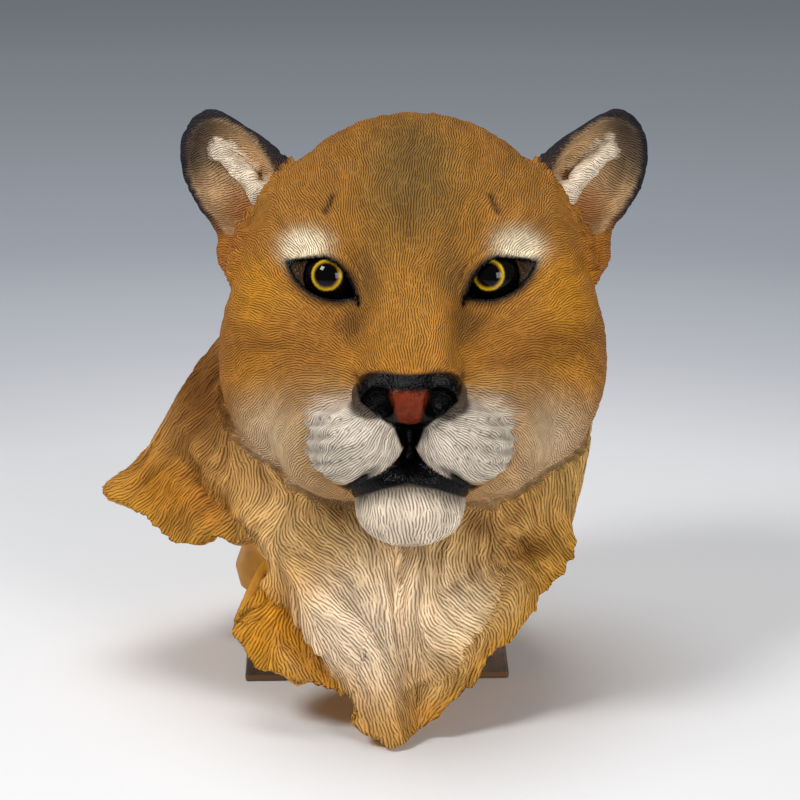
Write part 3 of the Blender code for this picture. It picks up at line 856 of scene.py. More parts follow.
# %% Which way the fur lies
NOSE = mm(0, -40, 84)
Comb = namedtuple("Comb", "name line reach")
COMBS = (
    Comb("left nape", ((-75, 165), (-92, 135), (-110, 112)), 14),
    Comb("lobe top", ((-85, 125), (-110, 105), (-134, 94)), 12),
    Comb("lobe foot", ((-75, 110), (-95, 96), (-112, 78)), 12),
    Comb("left shoulder", ((-78, 140), (-62, 118), (-45, 98)), 14),
    Comb("front curl", ((-34, 104), (-50, 98), (-62, 86)), 9),
    Comb("left throat", ((-42, 118), (-27, 95), (-12, 72)), 12),
    Comb("across the roll", ((-44, 72), (-24, 64), (-4, 44)), 10),
    Comb("foot of the roll", ((-22, 44), (-6, 28), (6, 6)), 10),
    Comb("golden lobe", ((-40, 66), (-55, 50), (-62, 36)), 10),
    Comb("lobe tip", ((-36, 50), (-36, 34), (-26, 18)), 8),
    Comb("valley", ((12, 104), (12, 60), (14, 12)), 10),
    Comb("right jaw", ((90, 128), (87, 108), (84, 88)), 13),
    Comb("right throat", ((58, 118), (42, 96), (28, 74)), 12),
    Comb("right shoulder", ((62, 100), (74, 86), (94, 72)), 11),
    Comb("right layer", ((26, 82), (42, 68), (60, 54)), 10),
    Comb("layer foot", ((18, 52), (32, 40), (46, 30)), 8),
    Comb("right flap", ((74, 60), (60, 40), (46, 20)), 8),
    Comb("flap foot", ((46, 30), (32, 16), (18, 4)), 8),
)


def combed_head(p):
    """Direction of the fur on the head, in its own axes."""
    way = p - NOSE
    way /= np.linalg.norm(way, axis=1, keepdims=True)
    behind = ease_mm(-p[:, 2], 15, 70)
    cheek = ease_mm(np.abs(p[:, 0]), 35, 75) * ease_mm(-p[:, 1], -20, 40)
    way[:, 1] -= 1.3 * behind + 0.5 * cheek
    ear = ease_mm(np.abs(p[:, 0]), 64, 74) * ease_mm(p[:, 1], 30, 44)
    outwards = np.column_stack([np.sign(p[:, 0]), np.full(len(p), -0.25), np.zeros(len(p))])
    return way * (1 - ear[:, None]) + outwards * ear[:, None]


def combed_neck(points):
    """Direction of the fur on the neck, in the object's axes."""
    outward = points - np.array([0, -10 * MM, 0])
    outward[:, 2] = 0
    outward /= np.linalg.norm(outward, axis=1, keepdims=True) + 1e-9
    total = 0.02 * (np.array([0, 0, -1.0]) + 0.5 * outward)
    flat = points[:, [0, 2]]
    front = np.clip(-points[:, 1] / (20 * MM) + 0.5, 0, 1)
    for comb in COMBS:
        line = np.array(comb.line, float) * MM
        for start, end in zip(line[:-1], line[1:]):
            near = bell(bar(flat, start, end, 0), comb.reach * MM) * front
            way = (end - start) / np.linalg.norm(end - start)
            total[:, 0] += near * way[0]
            total[:, 2] += near * way[1]
    return total


def comb(points, normals, head_share):
    """Unit direction of the fur along the skin at each point."""
    turn = np.array(head_matrix())[:3, :3]
    head_way = combed_head(in_head(points)) @ turn.T
    neck_way = combed_neck(points)
    neck_way /= np.linalg.norm(neck_way, axis=1, keepdims=True) + 1e-9
    way = head_share[:, None] * head_way + (1 - head_share[:, None]) * neck_way
    way -= (way * normals).sum(1, keepdims=True) * normals
    way /= np.linalg.norm(way, axis=1, keepdims=True) + 1e-9
    side = np.cross(normals, way)
    sway = radians(24) * noise(points, 11 * MM, 21) + radians(12) * noise(points, 4.5 * MM, 22)
    return way * np.cos(sway)[:, None] + side * np.sin(sway)[:, None]


# %% Strands: noise drawn out along the fur


def drawn_out(points, normals, head_share, size, reach, seed):
    """Noise averaged along the lie of the fur, so that its lumps become strands."""
    steps = max(3, int(reach / (size * 0.8)))
    total = noise(points, size, seed)
    for sign in (1, -1):
        p = points.copy()
        for step in range(steps):
            p = p + sign * reach / steps * comb(p, normals, head_share)
            total += noise(p, size, seed) * (1 - (step + 0.5) / (steps + 1))
    return (total - total.mean()) / total.std()


# %% Carve the fur
LOCK_SIZE = 4.2 * MM
LOCK_REACH = 16 * MM
STRAND_SIZE = 1.7 * MM
STRAND_REACH = 8 * MM
LONG_STRAND = 0.5 * MM
NECK_LOCK = 0.9 * MM
HEAD_LOCK = 0.18 * MM


def smooth_part(mesh):
    """1 for points of the smooth inner faces, 0 for the coat."""
    inner = read(mesh.polygons, "material_index", 1, np.int32)[:, 0]
    corners = read(mesh.polygons, "vertices", 3, np.int32)
    touched = np.zeros(len(mesh.vertices))
    touched[corners[inner == 1].ravel()] = 1
    return touched


points = places(bust.data)
normals = read(bust.data.vertices, "normal", 3).astype(float)
local = in_head(points)
front_half = mirrored(local)
on_head = ease_mm(-np.abs(head_field(local)) * (1 + 0.6 * noise(points, 3 * MM, 23)), -4.5, -0.4)
inner = smooth_part(bust.data)
way = comb(points, normals, on_head)
locks = drawn_out(points, normals, on_head, LOCK_SIZE, LOCK_REACH, 31)
strands = drawn_out(points, normals, on_head, STRAND_SIZE, STRAND_REACH, 32)
print("points to carve:", len(points))

# %% [markdown]
# ## Masks
# The painter and the carver both work by area: bare lacquered skin on nose, lips and lid rims, short
# velvet on the face, pads with rows of whisker holes, and long strands below. Each area is a
# number from 0 to 1 on every point.

# %% Areas of the face


def leather_mask(p):
    """The bare nose: wide above, narrowing to the groove between the pads."""
    half = np.interp(p[:, 1], mm(-64, -56, -50, -44, -34, -31), mm(4, 7, 15, 22, 25, 25))
    brim = np.interp(p[:, 0], mm(0, 12, 18, 22, 24.5, 26), mm(31.8, 31.2, 31.0, 32.4, 35.5, 40))
    inside = ease_mm(half - p[:, 0], -0.8, 0.8) * ease_mm(-p[:, 1] - brim, -1.2, 0.8)
    return inside * ease_mm(p[:, 1], -66, -64) * (p[:, 2] > 70 * MM)


LIP_FOOT = (mm(0, 12, 27, 32), mm(-80, -82.5, -87.5, -87))
ROW_START = 48.4 * MM
ROW_SPACING = 6.2 * MM


def lip_mask(p):
    """The black rim along the mouth, and the lower lip up to the pads."""
    mouth, philtrum = lip_distance(p)
    rim = np.maximum(ease_mm(-mouth, -2.9, -1.7), ease_mm(-philtrum, -5, -3.6))
    foot = np.interp(p[:, 0], LIP_FOOT[0], LIP_FOOT[1])
    side = ease_mm(-p[:, 0], -27.5, -25.5)
    lower = ease_mm(p[:, 1] - foot, -3.0, 1.2) * ease_mm(-p[:, 1], 58, 60) * side
    lower *= (1 - ease(pad_mask(p), 0.5, 0.8)) * (p[:, 2] > 60 * MM)
    return ease(np.maximum(rim, lower), 0.15, 0.75)


def lid_mask(p):
    """Black paint round the opening, with a tail at each corner."""
    near = (np.linalg.norm(p - EYE_CENTRE, axis=1) < 34 * MM) & (p[:, 2] > 15 * MM)
    opening, above = lid_opening(p)
    width = np.where(above, 1.1 * MM, 0.9 * MM)
    rim = ease_mm(width - opening, -0.7, 0.7)
    flat = (p - EYE_CENTRE)[:, :2]
    outer = bar(flat, mm(18.5, 7.4), mm(22, 7.2), 1.0 * MM, 0.6 * MM)
    inner_tail = bar(flat, mm(-12, -10.5), mm(-13.5, -14), 2.0 * MM, 0.9 * MM)
    tails = ease_mm(-np.minimum(outer, inner_tail), -0.7, 0.5)
    return np.maximum(rim, tails) * near


def pad_mask(p):
    """The two white pads that the whiskers grow from; their tops fade into the cheek."""
    pad = ellipsoid(p, mm(25, -61, 78), mm(24.0, 19.5, 32), -16)
    pad = np.minimum(pad, ellipsoid(p, mm(34, -53, 70), mm(13.5, 10.5, 32)))
    scallop = 1.5 * MM * np.cos(2 * pi * (p[:, 1] + ROW_START) / ROW_SPACING)
    pad -= scallop * ease_mm(p[:, 0], 34, 42)
    soft = 1.2 * MM + 5 * MM * ease_mm(p[:, 1], -58, -46)
    return np.clip(0.5 - pad / (2 * soft), 0, 1) * (p[:, 2] > 40 * MM)


def chin_mask(p):
    return ease_mm(-ellipsoid(p, mm(0, -93, 66), mm(28, 17, 28)), -2, 1)


leather, lips, lids = leather_mask(front_half), lip_mask(front_half), lid_mask(front_half)
pads, chin = pad_mask(front_half), chin_mask(front_half)
ear_axes = in_ear(front_half)
ears = ease_mm(-ellipsoid(ear_axes, mm(0, 4, 0), EAR_RADII + 3 * MM), -2, 2)
ears *= front_half[:, 0] > 62 * MM
cup = ellipsoid(ear_axes, np.array([0, 0, EAR_CUP_FORWARD]), EAR_CUP + 1.2 * MM)
ear_inside = ears * ease_mm(-cup, -0.6, 0.6)
bare = np.clip(np.maximum.reduce([leather, lips, lids]), 0, 1) * on_head
print("bare lacquered points:", int((bare > 0.5).sum()))

# %% Whisker rows
WHISKER_ROWS = 4
WHISKERS_IN_ROW = 5
HOLE = 0.65 * MM


def whisker_holes(p):
    """Small holes in curved rows across each pad."""
    holes = np.zeros(len(p))
    for row in range(WHISKER_ROWS):
        for k in range(WHISKERS_IN_ROW):
            across = (20 + 5.1 * k + 1.4 * (row % 2) + 0.6 * sin(7 * k + row)) * MM
            up = (-50.5 - 6.4 * row - 0.5 * k + 0.7 * sin(5 * k + 3 * row)) * MM
            holes += bell(np.hypot(p[:, 0] - across, p[:, 1] - up), HOLE)
    return np.clip(holes, 0, 1) * pads


def pad_ridges(p):
    """Soft ridges between the whisker rows, which scallop the pad's outer end."""
    wave = np.cos((p[:, 1] + ROW_START + 0.06 * p[:, 0]) / ROW_SPACING * 2 * pi)
    rim = 1.2 * bell(pads - 0.25, 0.25) * ease_mm(p[:, 0], 30, 40)
    return wave * pads * ease_mm(p[:, 0], 20, 44) - rim


holes = whisker_holes(front_half)
ridges = pad_ridges(front_half)

# %% Move the skin
Cut = namedtuple("Cut", "name start end width depth")
CUTS = (
    Cut("forehead crease", mm(0, 96, -10), mm(0, 30, 30), 0.9 * MM, 0.8 * MM),
    Cut("brow notch", mm(40.5, 45.5, 20), mm(37.5, 53, 10), 1.5 * MM, 1.2 * MM),
    Cut("wing slit", mm(22.5, -38, 84), mm(25, -31.5, 78), 1.0 * MM, 0.9 * MM),
)


def face_cuts(p):
    """Folds drawn with a fine tool."""
    depth = np.zeros(len(p))
    for cut in CUTS:
        front = p[:, 2] > cut.end[2] - 30 * MM
        depth += cut.depth * bell(bar(p[:, :2], cut.start[:2], cut.end[:2], 0), cut.width) * front
    return depth


EAR_EDGE = mm((60, 76), (68, 65), (78, 52), (83, 42), (85, 33), (87.5, 16)).reshape(-1, 2)


def ear_edge(p):
    """A roll of locks where the head's fur overlaps the ear, with a ragged crest."""
    ragged = np.clip(0.6 + 0.9 * noise(p, 2.4 * MM, 44), 0, 1.4)
    return bell(line_distance(p[:, :2], EAR_EDGE), 3.4 * MM) * ragged * (p[:, 2] < 0)


def fur_depth():
    """How far each point moves out of the skin."""
    furry = (1 - bare) * (1 - inner) * (1 - ear_inside)
    face = ease_mm(local[:, 2], -40, 10) * on_head
    strand = LONG_STRAND - 0.3 * MM * face + (0.2 * MM * chin + 0.08 * MM * pads) * on_head
    lock = NECK_LOCK + (HEAD_LOCK - NECK_LOCK) * on_head
    move = (np.tanh(strands) * strand + np.tanh(locks) * lock) * furry
    move += on_head * (0.8 * MM * ridges - 0.5 * MM * holes - face_cuts(front_half))
    move += on_head * (1 - ear_inside) * 4.2 * MM * ear_edge(front_half)
    move -= on_head * leather * 0.15 * MM * noise(points, 1.5 * MM, 41)
    return move


set_places(bust.data, points + normals * fur_depth()[:, None])
print("deepest carving in mm:", round(float(np.abs(fur_depth()).max() / MM), 2))

# %% [markdown]
# ## Painting the coat
# The finish is airbrushed: a tan ground, then soft clouds of ochre, gold, olive and cream, dark rims
# on the ears, and a thin dark wash that stays in the carved grooves. That darkening of the low parts
# of the carving, with the raised strands made lighter, is also painted shade and light; the cut folds,
# the dents of the pads and two hollows under the jaw get painted shade too. The clouds are painted
# onto the points as a colour; the wash and its shading come from the depth of the strands.

# %% Airbrush clouds on the head
Cloud = namedtuple("Cloud", "name centre radii colour strength")


def clouds(rows):
    """Clouds from rows of a name, a centre and radii in millimetres, a screen colour and a strength."""
    return [Cloud(name, mm(*centre), mm(*radii), srgb(*rgb), share)
            for name, centre, radii, rgb, share in rows]


GROUND = srgb(164, 110, 40)
HEAD_CLOUDS = clouds((
    ("top of the head", (40, 88, -30), (60, 30, 60), (150, 98, 34), 0.7),
    ("forehead", (0, 60, 20), (30, 46, 60), (110, 86, 44), 0.9),
    ("temple", (50, 54, 10), (22, 22, 50), (158, 108, 42), 0.6),
    ("head rim", (92, 12, -20), (20, 62, 50), (174, 106, 34), 0.85),
    ("outer cheek", (71, 4, 10), (17, 22, 50), (200, 134, 18), 0.8),
    ("cheek shade", (72, -17, 10), (16, 11, 50), (142, 84, 22), 0.45),
    ("low outer cheek", (70, -33, 10), (20, 13, 50), (206, 136, 22), 0.75),
    ("under the eye", (50, -16, 40), (18, 12, 50), (150, 96, 26), 0.75),
    ("cheek hollow", (46, -30, 45), (12, 12, 40), (150, 94, 32), 0.7),
    ("inner eye", (20, 14, 40), (9, 15, 30), (118, 86, 44), 0.7),
    ("tear mark", (27, -9, 50), (8, 10, 30), (84, 56, 30), 0.75),
    ("bridge", (0, -8, 70), (15, 30, 40), (180, 126, 52), 0.8),
    ("above the nose", (0, -27, 80), (20, 6, 40), (190, 126, 50), 0.6),
    ("over the pad", (36, -38, 60), (14, 8, 40), (176, 132, 70), 0.7),
    ("lower cheek", (60, -62, 20), (28, 22, 60), (228, 198, 158), 0.95),
    ("jaw", (40, -84, 10), (34, 16, 60), (214, 182, 140), 0.85),
))
PAD_WHITE = srgb(208, 196, 180)
CHIN_WHITE = srgb(222, 206, 184)
LACQUER = srgb(4, 4, 5)
NOSE_PINK = srgb(120, 46, 20)
EAR_BACK = srgb(40, 38, 42)
EAR_SKIN = srgb(214, 176, 130)
EAR_DEEP = srgb(168, 104, 48)
EAR_BASE = srgb(150, 96, 48)
TUFT_CREAM = srgb(236, 220, 196)
BROW = Cloud("brow", mm(49.5, 28.5, 22), mm(11.5, 8.2, 30), srgb(236, 218, 184), 1.0)
LID_SKIN = srgb(58, 40, 22)
SOFT_SHADE = srgb(40, 28, 22)
EAR_HEART = Cloud("heart of the ear", mm(84, 52, -30), mm(12, 12, 30), EAR_DEEP, 1.0)


def spray(colour, tint, share):
    """Lay a tint over the colour with the given cover at each point."""
    share = np.clip(share, 0, 1)[:, None]
    return colour * (1 - share) + np.array(tint) * share


def cloud_share(p, cloud):
    r = np.linalg.norm((p - cloud.centre) / cloud.radii, axis=1)
    return cloud.strength * np.exp(-(r**2.6))


def paint_ears(colour, p):
    """Charcoal tips and rims, tan inside, orange in the hollow, and a cream tuft."""
    out = np.linalg.norm(ear_axes[:, :2] / EAR_RADII[:2], axis=1)
    tip = ease_mm(ear_axes[:, 1] + 0.6 * ear_axes[:, 0], 3, 31)
    charcoal = ears * np.maximum(ease(out, 0.56, 0.98) * ease_mm(ear_axes[:, 1], -30, 0), 0.9 * tip)
    colour = spray(colour, EAR_BASE, ears)
    colour = spray(colour, EAR_BACK, ears * (1 - ear_inside) * ease_mm(ear_axes[:, 1], -20, 12))
    colour = spray(colour, EAR_SKIN, ear_inside)
    colour = spray(colour, EAR_DEEP, 0.9 * ear_inside * cloud_share(p, EAR_HEART))
    colour = spray(colour, EAR_BACK, charcoal)
    return spray(colour, TUFT_CREAM, ease_mm(-tuft_distance(p), -1.2, 0.2))


def paint_head(p):
    colour = np.tile(np.array(GROUND), (len(p), 1))
    for cloud in HEAD_CLOUDS:
        colour = spray(colour, cloud.colour, cloud_share(p, cloud))
    colour = spray(colour, PAD_WHITE, pads)
    colour = spray(colour, CHIN_WHITE, chin)
    # Painted shade: the whisker holes, the grooves between the whisker rows and the dip round each pad's
    # outer end are darkened where they are dented.
    colour = spray(colour, srgb(86, 72, 60), np.maximum(0.7 * holes, -0.28 * ridges))
    colour = paint_ears(colour, p)
    colour = spray(colour, SOFT_SHADE, 0.85 * np.maximum(leather_soft(p), lids_soft(p)))
    # Painted shade: the cut folds are darkened as deep as they are cut.
    colour = spray(colour, SOFT_SHADE, 0.7 / MM * face_cuts(p))
    colour = spray(colour, BROW.colour, 1.5 * cloud_share(p, BROW) * (lid_opening(p)[0] > 0))
    slit = bell(bar(p, CUTS[2].start, CUTS[2].end, 0), 1.2 * MM)
    colour = spray(colour, LACQUER, np.maximum.reduce([leather, lips, lids, slit]))
    outer_corner = ease_mm(p[:, 0] - EYE_CENTRE[0], 8, 12) * (lid_opening(p)[0] < -1.0 * MM)
    colour = spray(colour, LID_SKIN, outer_corner * lids)
    half = np.interp(p[:, 1], mm(-58, -56, -52, -46, -41), mm(1, 3.4, 4.6, 6.4, 8.4))
    ragged = 0.8 * MM * noise(points, 1.5 * MM, 52)
    pink = ease_mm(half - p[:, 0], -1.8, 1.2) * ease_mm(ragged - p[:, 1], 38, 42)
    pink *= leather * ease_mm(p[:, 1], -58, -53) * ease_mm(p[:, 2], 88, 92)
    return spray(colour, NOSE_PINK, pink * (0.85 + 0.3 * noise(points, 1.6 * MM, 53)))


def leather_soft(p):
    """A soft dark halo beside the nose and along the lips."""
    mouth, philtrum = lip_distance(p)
    wing = ellipsoid(p, mm(13.5, -41, 84), mm(14, 10.5, 18), -24)
    halo = ease_mm(-wing, -2.5, 1)
    foot = np.interp(p[:, 0], LIP_FOOT[0], LIP_FOOT[1])
    under = ease_mm(p[:, 1] - foot, -10, -1) * ease_mm(-p[:, 0], -27, -22)
    under *= ease_mm(-p[:, 1], 74, 78) * (1 - pads)
    halo = np.maximum.reduce([halo, 0.8 * ease_mm(-mouth, -4.5, -2.4), 0.9 * under])
    return np.maximum(halo, ease_mm(-philtrum, -7, -3.5)) * (p[:, 2] > 60 * MM)


def lids_soft(p):
    near = np.linalg.norm(p - EYE_CENTRE, axis=1) < 30 * MM
    return 0.8 * ease_mm(-lid_opening(p)[0], -4.5, -1.2) * near


# %% Airbrush clouds on the neck
NECK_GROUND = srgb(184, 138, 76)
NECK_CLOUDS = clouds((
    ("left nape", (-84, 0, 142), (30, 90, 34), (100, 56, 14), 0.9),
    ("shoulder lobe", (-104, -20, 94), (34, 70, 22), (158, 100, 22), 0.9),
    ("under the left cheek", (-50, -60, 112), (26, 60, 18), (192, 148, 92), 0.7),
    ("front curl", (-48, -70, 90), (20, 50, 15), (208, 172, 118), 0.75),
    ("right neck", (92, -20, 110), (24, 70, 26), (188, 152, 90), 0.7),
    ("right shoulder", (88, -50, 78), (22, 60, 20), (184, 138, 68), 0.8),
    ("throat", (12, -85, 92), (42, 60, 18), (218, 184, 124), 0.8),
    ("breast", (6, -100, 58), (34, 50, 32), (232, 208, 174), 0.85),
    ("breast roll", (-14, -100, 46), (22, 50, 26), (228, 206, 178), 0.9),
    ("right layer", (44, -90, 56), (18, 50, 18), (236, 212, 176), 0.85),
    ("golden lobe", (-56, -88, 40), (16, 50, 22), (188, 122, 14), 0.95),
    ("right flap", (64, -88, 38), (16, 50, 24), (202, 164, 100), 0.9),
    ("flap foot", (36, -105, 12), (20, 50, 12), (176, 120, 60), 0.8),
    # Painted shade: the two carved hollows under the right jaw are clouded dark brown.
    ("right hollow", (72, -70, 82), (12, 40, 7), (118, 72, 28), 0.8),
    ("throat hollow", (48, -75, 95), (9, 40, 7), (104, 68, 36), 0.8),
    ("golden hollow", (-78, -60, 92), (12, 50, 9), (176, 104, 24), 0.6),
    ("back of the neck", (0, 90, 110), (130, 60, 70), (160, 106, 40), 0.8),
))
HEM_GOLD = srgb(184, 130, 44)
FLAP_GOLD = srgb(190, 154, 98)
LOBE_GOLD = srgb(190, 124, 16)
HEM_REACH = 9 * MM
LEDGE_COVER = 0.9
FRONT_LAYER = mm(-46, 76)


def hem_distance(at):
    """Distance from each point to the ragged edge."""
    edge = neck_surface(np.linspace(0, len(HEM), 900, endpoint=False), 1.0)
    tree = KDTree(len(edge))
    for number, place in enumerate(edge):
        tree.insert(place, number)
    tree.balance()
    return np.array([tree.find(place)[2] for place in at])


def paint_neck(at):
    colour = np.tile(np.array(NECK_GROUND), (len(at), 1))
    for cloud in NECK_CLOUDS:
        colour = spray(colour, cloud.colour, cloud_share(at, cloud))
    for ledge, tint in zip(LEDGES, (FLAP_GOLD, LOBE_GOLD)):
        colour = spray(colour, tint, LEDGE_COVER * ledge_share(at, ledge))
    gold = np.exp(-hem_distance(at) / HEM_REACH) * (1 - 0.6 * bell(at[:, 0] - 4 * MM, 16 * MM))
    gold *= 1 - 0.85 * bell(np.linalg.norm(at[:, [0, 2]] - FRONT_LAYER, axis=1), 15 * MM)
    return spray(colour, HEM_GOLD, gold)


# %% Mix the two paints, add the wash and its painted shading, and store it all on the points
BROAD_MOTTLE = 0.07
FINE_MOTTLE = 0.05
NECK_WASH_AND_SHADING = 0.34
HEAD_WASH_AND_SHADING = 0.18


def store(mesh, name, kind, values):
    attribute = mesh.attributes.new(name, kind, "POINT")
    field = {"FLOAT": "value", "FLOAT_VECTOR": "vector", "FLOAT_COLOR": "color"}[kind]
    attribute.data.foreach_set(field, np.ascontiguousarray(values, np.float32).ravel())


def paint():
    head_colour, neck_colour = paint_head(front_half), paint_neck(points)
    share = on_head[:, None]
    colour = head_colour * share + neck_colour * (1 - share)
    mottle = 1 + BROAD_MOTTLE * noise(points, 9 * MM, 61) + FINE_MOTTLE * noise(points, 3 * MM, 62)
    depth = (np.tanh(strands) + np.tanh(locks)) / 2
    # The wash is partly painted shade and light: it darkens the low parts of the carving and lightens the
    # raised strands.
    wash_and_shading = 1 + (NECK_WASH_AND_SHADING + (HEAD_WASH_AND_SHADING - NECK_WASH_AND_SHADING) * on_head) * depth * (1 - bare)
    colour = np.clip(colour * (mottle * wash_and_shading)[:, None], 0, 1)
    return np.column_stack([colour, np.ones(len(colour))])


mesh = bust.data
side = np.cross(normals, way)
store(mesh, "coat", "FLOAT_COLOR", paint())
store(mesh, "across", "FLOAT_VECTOR", side)
store(mesh, "bare", "FLOAT", bare)
store(mesh, "velvet", "FLOAT", on_head * (1 - chin))
mesh.shade_smooth()
print("painted:", len(points), "points")

# %% [markdown]
# ## The coat's material
# Between the carved strands run finer ones, about a millimetre apart, too small for faces. Gabor
# noise makes short waves that follow a given direction, so it takes the direction across the fur
# from the points and gives ridges along it, closer together on the face. The ridges catch the
# light and the grooves keep the wash; the colour is also tinted darker in the grooves and lighter on
# the crests, as painted shade and light.

# %% Carved coat
FACE_STRANDS = 318.0
LONG_STRANDS = 233.0
WAVES_IN_A_SPOT = 2.6
STRAND_SHARPNESS = 0.8
STRAND_MEAN = 0.65
EVEN_FROM = 0.22
# Painted shade and light: tints from the grooves, darker than the paint, to the crests, lighter than it.
GROOVE_WASH_AND_SHADING = ((0.0, (0.36, 0.3, 0.24)), (0.4, (0.8, 0.76, 0.7)), (1.0, (1.24, 1.24, 1.24)))
LONG_RELIEF = 0.9 * MM
FACE_RELIEF = 0.8 * MM
FUR_GLOSS = 0.6
LACQUER_GLOSS = 0.14


def mix(add, link, share, one, other, kind="FLOAT"):
    """One value where the share is 0, the other where it is 1; either may be a plain constant."""
    node = add("Mix", data_type=kind)
    slots = [socket for socket in node.inputs if socket.enabled]
    link(share, slots[0])
    for socket, value in zip(slots[1:], (one, other)):
        feed(link, value, socket)
    return next(socket for socket in node.outputs if socket.enabled)


def strand_ridges(add, link, place, across, velvet):
    """Rows of ridges along the fur, from the phase of waves that run across it."""
    wave = add("TexGabor", gabor_type="3D", Frequency=WAVES_IN_A_SPOT, Anisotropy=1.0)
    link(place, wave.inputs["Vector"])
    link(across, wave.inputs[5])
    link(mix(add, link, velvet, LONG_STRANDS, FACE_STRANDS), wave.inputs["Scale"])
    height = wave.outputs["Phase"]
    for operation, value in (("MULTIPLY", pi), ("SINE", 0.0), ("POWER", STRAND_SHARPNESS)):
        step = add("Math", operation=operation)
        link(height, step.inputs[0])
        step.inputs[1].default_value = value
        height = step.outputs[0]
    strength = add("MapRange", From_Max=EVEN_FROM)
    link(wave.outputs["Intensity"], strength.inputs["Value"])
    return mix(add, link, strength.outputs["Result"], STRAND_MEAN, height)


def finish_coat():
    material, shader, add, link = new_material("painted carved resin")
    colour = add("Attribute", attribute_name="coat").outputs["Color"]
    across = add("Attribute", attribute_name="across").outputs["Vector"]
    bare_skin = add("Attribute", attribute_name="bare").outputs["Fac"]
    velvet = add("Attribute", attribute_name="velvet").outputs["Fac"]
    place = add("TexCoord").outputs["Object"]
    ridges = strand_ridges(add, link, place, across, velvet)
    # The grooves are tinted darker and the crests lighter: a wash with painted shade and light.
    tint = add("ValToRGB")
    ramp(tint, GROOVE_WASH_AND_SHADING)
    link(ridges, tint.inputs["Fac"])
    wash_and_shading = mix(add, link, bare_skin, tint.outputs["Color"], (1, 1, 1, 1), "RGBA")
    tinted = add("VectorMath", operation="MULTIPLY")
    link(colour, tinted.inputs[0])
    link(wash_and_shading, tinted.inputs[1])
    link(tinted.outputs["Vector"], shader.inputs["Base Color"])
    wet = add("TexNoise", Scale=760.0, Detail=2.0)
    link(place, wet.inputs["Vector"])
    height = mix(add, link, bare_skin, ridges, wet.outputs["Fac"])
    depth = add("MapRange", To_Min=LONG_RELIEF, To_Max=FACE_RELIEF)
    link(velvet, depth.inputs["Value"])
    add_relief(add, link, shader, height, 0.9, depth.outputs["Result"])
    gloss = add("MapRange", To_Min=FUR_GLOSS, To_Max=LACQUER_GLOSS)
    link(bare_skin, gloss.inputs["Value"])
    link(gloss.outputs["Result"], shader.inputs["Roughness"])
    put(shader, Specular_IOR_Level=0.1)
    return material


def finish_inner():
    """Smooth cast resin inside the skirt: ochre, a little cloudy and glossier than the fur."""
    material, shader, add, link = new_material("smooth ochre resin")
    place = add("TexCoord")
    cloud = add("TexNoise", Scale=60.0, Detail=4.0)
    link(place.outputs["Object"], cloud.inputs["Vector"])
    shade = add("ValToRGB")
    ramp(shade, ((0.3, srgb(186, 122, 34)), (0.7, srgb(228, 170, 66))))
    link(cloud.outputs["Fac"], shade.inputs["Fac"])
    link(shade.outputs["Color"], shader.inputs["Base Color"])
    put(shader, Roughness=0.5, Specular_IOR_Level=0.2)
    add_relief(add, link, shader, cloud.outputs["Fac"], 0.3, 0.6 * MM)
    return material


bust.data.materials[0] = finish_coat()
bust.data.materials[1] = finish_inner()
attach(bust, "root")
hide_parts("cougar_bust")
print("triangles of the bust:", len(bust.data.polygons))

# %% [markdown]
# ## Glass eyes
# Each eye is a domed glass ball with its iris painted behind clear glass: a black pupil, an amber
# ring that lightens outwards, and a black rim. The rings are shaded from the distance to the eye's
# own axis, which turns a few degrees towards the viewer.

# %% Eyes
GAZE = Vector((-1.9, 0.4, 12.3))
IRIS_STEPS = (
    (0.0, srgb(3, 3, 4)), (0.43, srgb(4, 3, 3)), (0.46, srgb(60, 36, 4)), (0.51, srgb(150, 106, 14)),
    (0.58, srgb(206, 176, 40)), (0.62, srgb(130, 100, 18)), (0.65, srgb(10, 8, 5)), (1.0, srgb(5, 4, 4)),
)


def finish_eye():
    material, shader, add, link = new_material("amber glass eye")
    place = add("Attribute", attribute_name="eye_axes")
    flat = add("VectorMath", operation="MULTIPLY")
    link(place.outputs["Vector"], flat.inputs[0])
    flat.inputs[1].default_value = (1, 1, 0)
    radius = add("VectorMath", operation="LENGTH")
    link(flat.outputs["Vector"], radius.inputs[0])
    fibres = add("TexNoise", Scale=9.0, Detail=3.0)
    unit = add("VectorMath", operation="NORMALIZE")
    link(flat.outputs["Vector"], unit.inputs[0])
    link(unit.outputs["Vector"], fibres.inputs["Vector"])
    shift = add("Math", operation="MULTIPLY_ADD")
    link(fibres.outputs["Fac"], shift.inputs[0])
    shift.inputs[1].default_value = 0.06
    link(radius.outputs["Value"], shift.inputs[2])
    shade = add("ValToRGB")
    ramp(shade, IRIS_STEPS)
    link(shift.outputs[0], shade.inputs["Fac"])
    link(shade.outputs["Color"], shader.inputs["Base Color"])
    put(shader, Roughness=0.05, Specular_IOR_Level=0.0, Coat_Weight=0.4, Coat_Roughness=0.02)
    return material


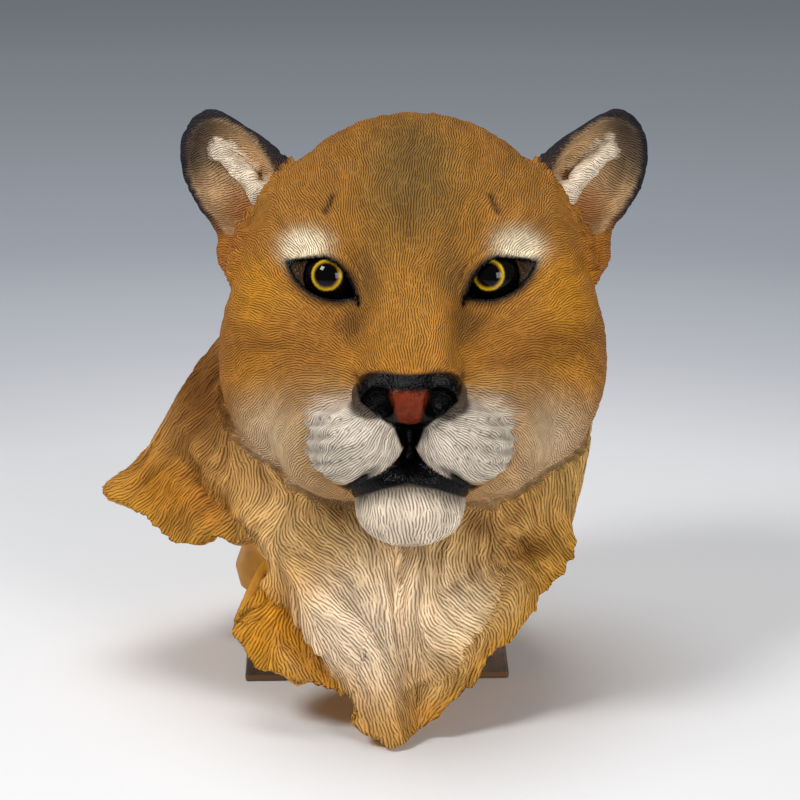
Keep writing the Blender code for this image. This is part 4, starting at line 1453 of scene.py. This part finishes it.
def make_eye(name, side, material):
    bpy.ops.mesh.primitive_uv_sphere_add(segments=96, ring_count=64, radius=EYE_RADIUS)
    eye = bpy.context.object
    eye.name = name
    unit = places(eye.data) / EYE_RADIUS
    store(eye.data, "eye_axes", "FLOAT_VECTOR", unit)
    turn = GAZE.to_track_quat("Z", "Y").to_matrix().to_4x4()
    centre = Matrix.Translation((side * EYE_CENTRE[0], EYE_CENTRE[1], EYE_CENTRE[2]))
    eye.data.transform(head_matrix() @ centre @ turn)
    eye.data.shade_smooth()
    eye.data.materials.append(material)
    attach(eye, "root")
    return eye


eye_material = finish_eye()
for node, side in (("eye_left", -1), ("eye_right", 1)):
    glass = make_eye("glass_" + node, side, eye_material)
    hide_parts(node)
    print(glass.name, "radius in mm:", round(EYE_RADIUS / MM, 1))

# %% [markdown]
# ## The block
# The small tapered block is dark mottled resin with a brown band at its foot, painted lighter than
# the block: partly the band's own colour and partly painted reflection of the pale floor. It already
# has its right shape, so the imported piece stays and only takes a new material.

# %% Block
BAND_TOP = 3.4 * MM
# Painted reflection, in part: the foot band is a lighter brown than the block.
FOOT_BAND_BROWN_AND_REFLECTION = srgb(104, 72, 36)
BLOCK_SHADES = ((0.3, srgb(36, 26, 17)), (0.55, srgb(74, 54, 34)), (0.75, srgb(100, 80, 56)))


def finish_block():
    material, shader, add, link = new_material("mottled dark resin")
    place = add("TexCoord")
    spots = add("TexNoise", Scale=110.0, Detail=6.0, Roughness=0.65)
    link(place.outputs["Object"], spots.inputs["Vector"])
    shade = add("ValToRGB")
    ramp(shade, BLOCK_SHADES)
    link(spots.outputs["Fac"], shade.inputs["Fac"])
    height = add("SeparateXYZ")
    link(place.outputs["Object"], height.inputs["Vector"])
    # Below the band's top the block takes the lighter band colour, partly painted reflection of the
    # floor.
    reflecting_band = add("Math", operation="LESS_THAN")
    link(height.outputs["Z"], reflecting_band.inputs[0])
    reflecting_band.inputs[1].default_value = BAND_TOP
    colour = mix(add, link, reflecting_band.outputs[0], shade.outputs["Color"], (*FOOT_BAND_BROWN_AND_REFLECTION, 1), "RGBA")
    link(colour, shader.inputs["Base Color"])
    put(shader, Roughness=0.5)
    add_relief(add, link, shader, spots.outputs["Fac"], 0.4, 0.6 * MM)
    return material


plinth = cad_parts["plinth"]
for index in range(len(plinth.material_slots)):
    plinth.material_slots[index].material = finish_block()
print("block material slots:", len(plinth.material_slots))
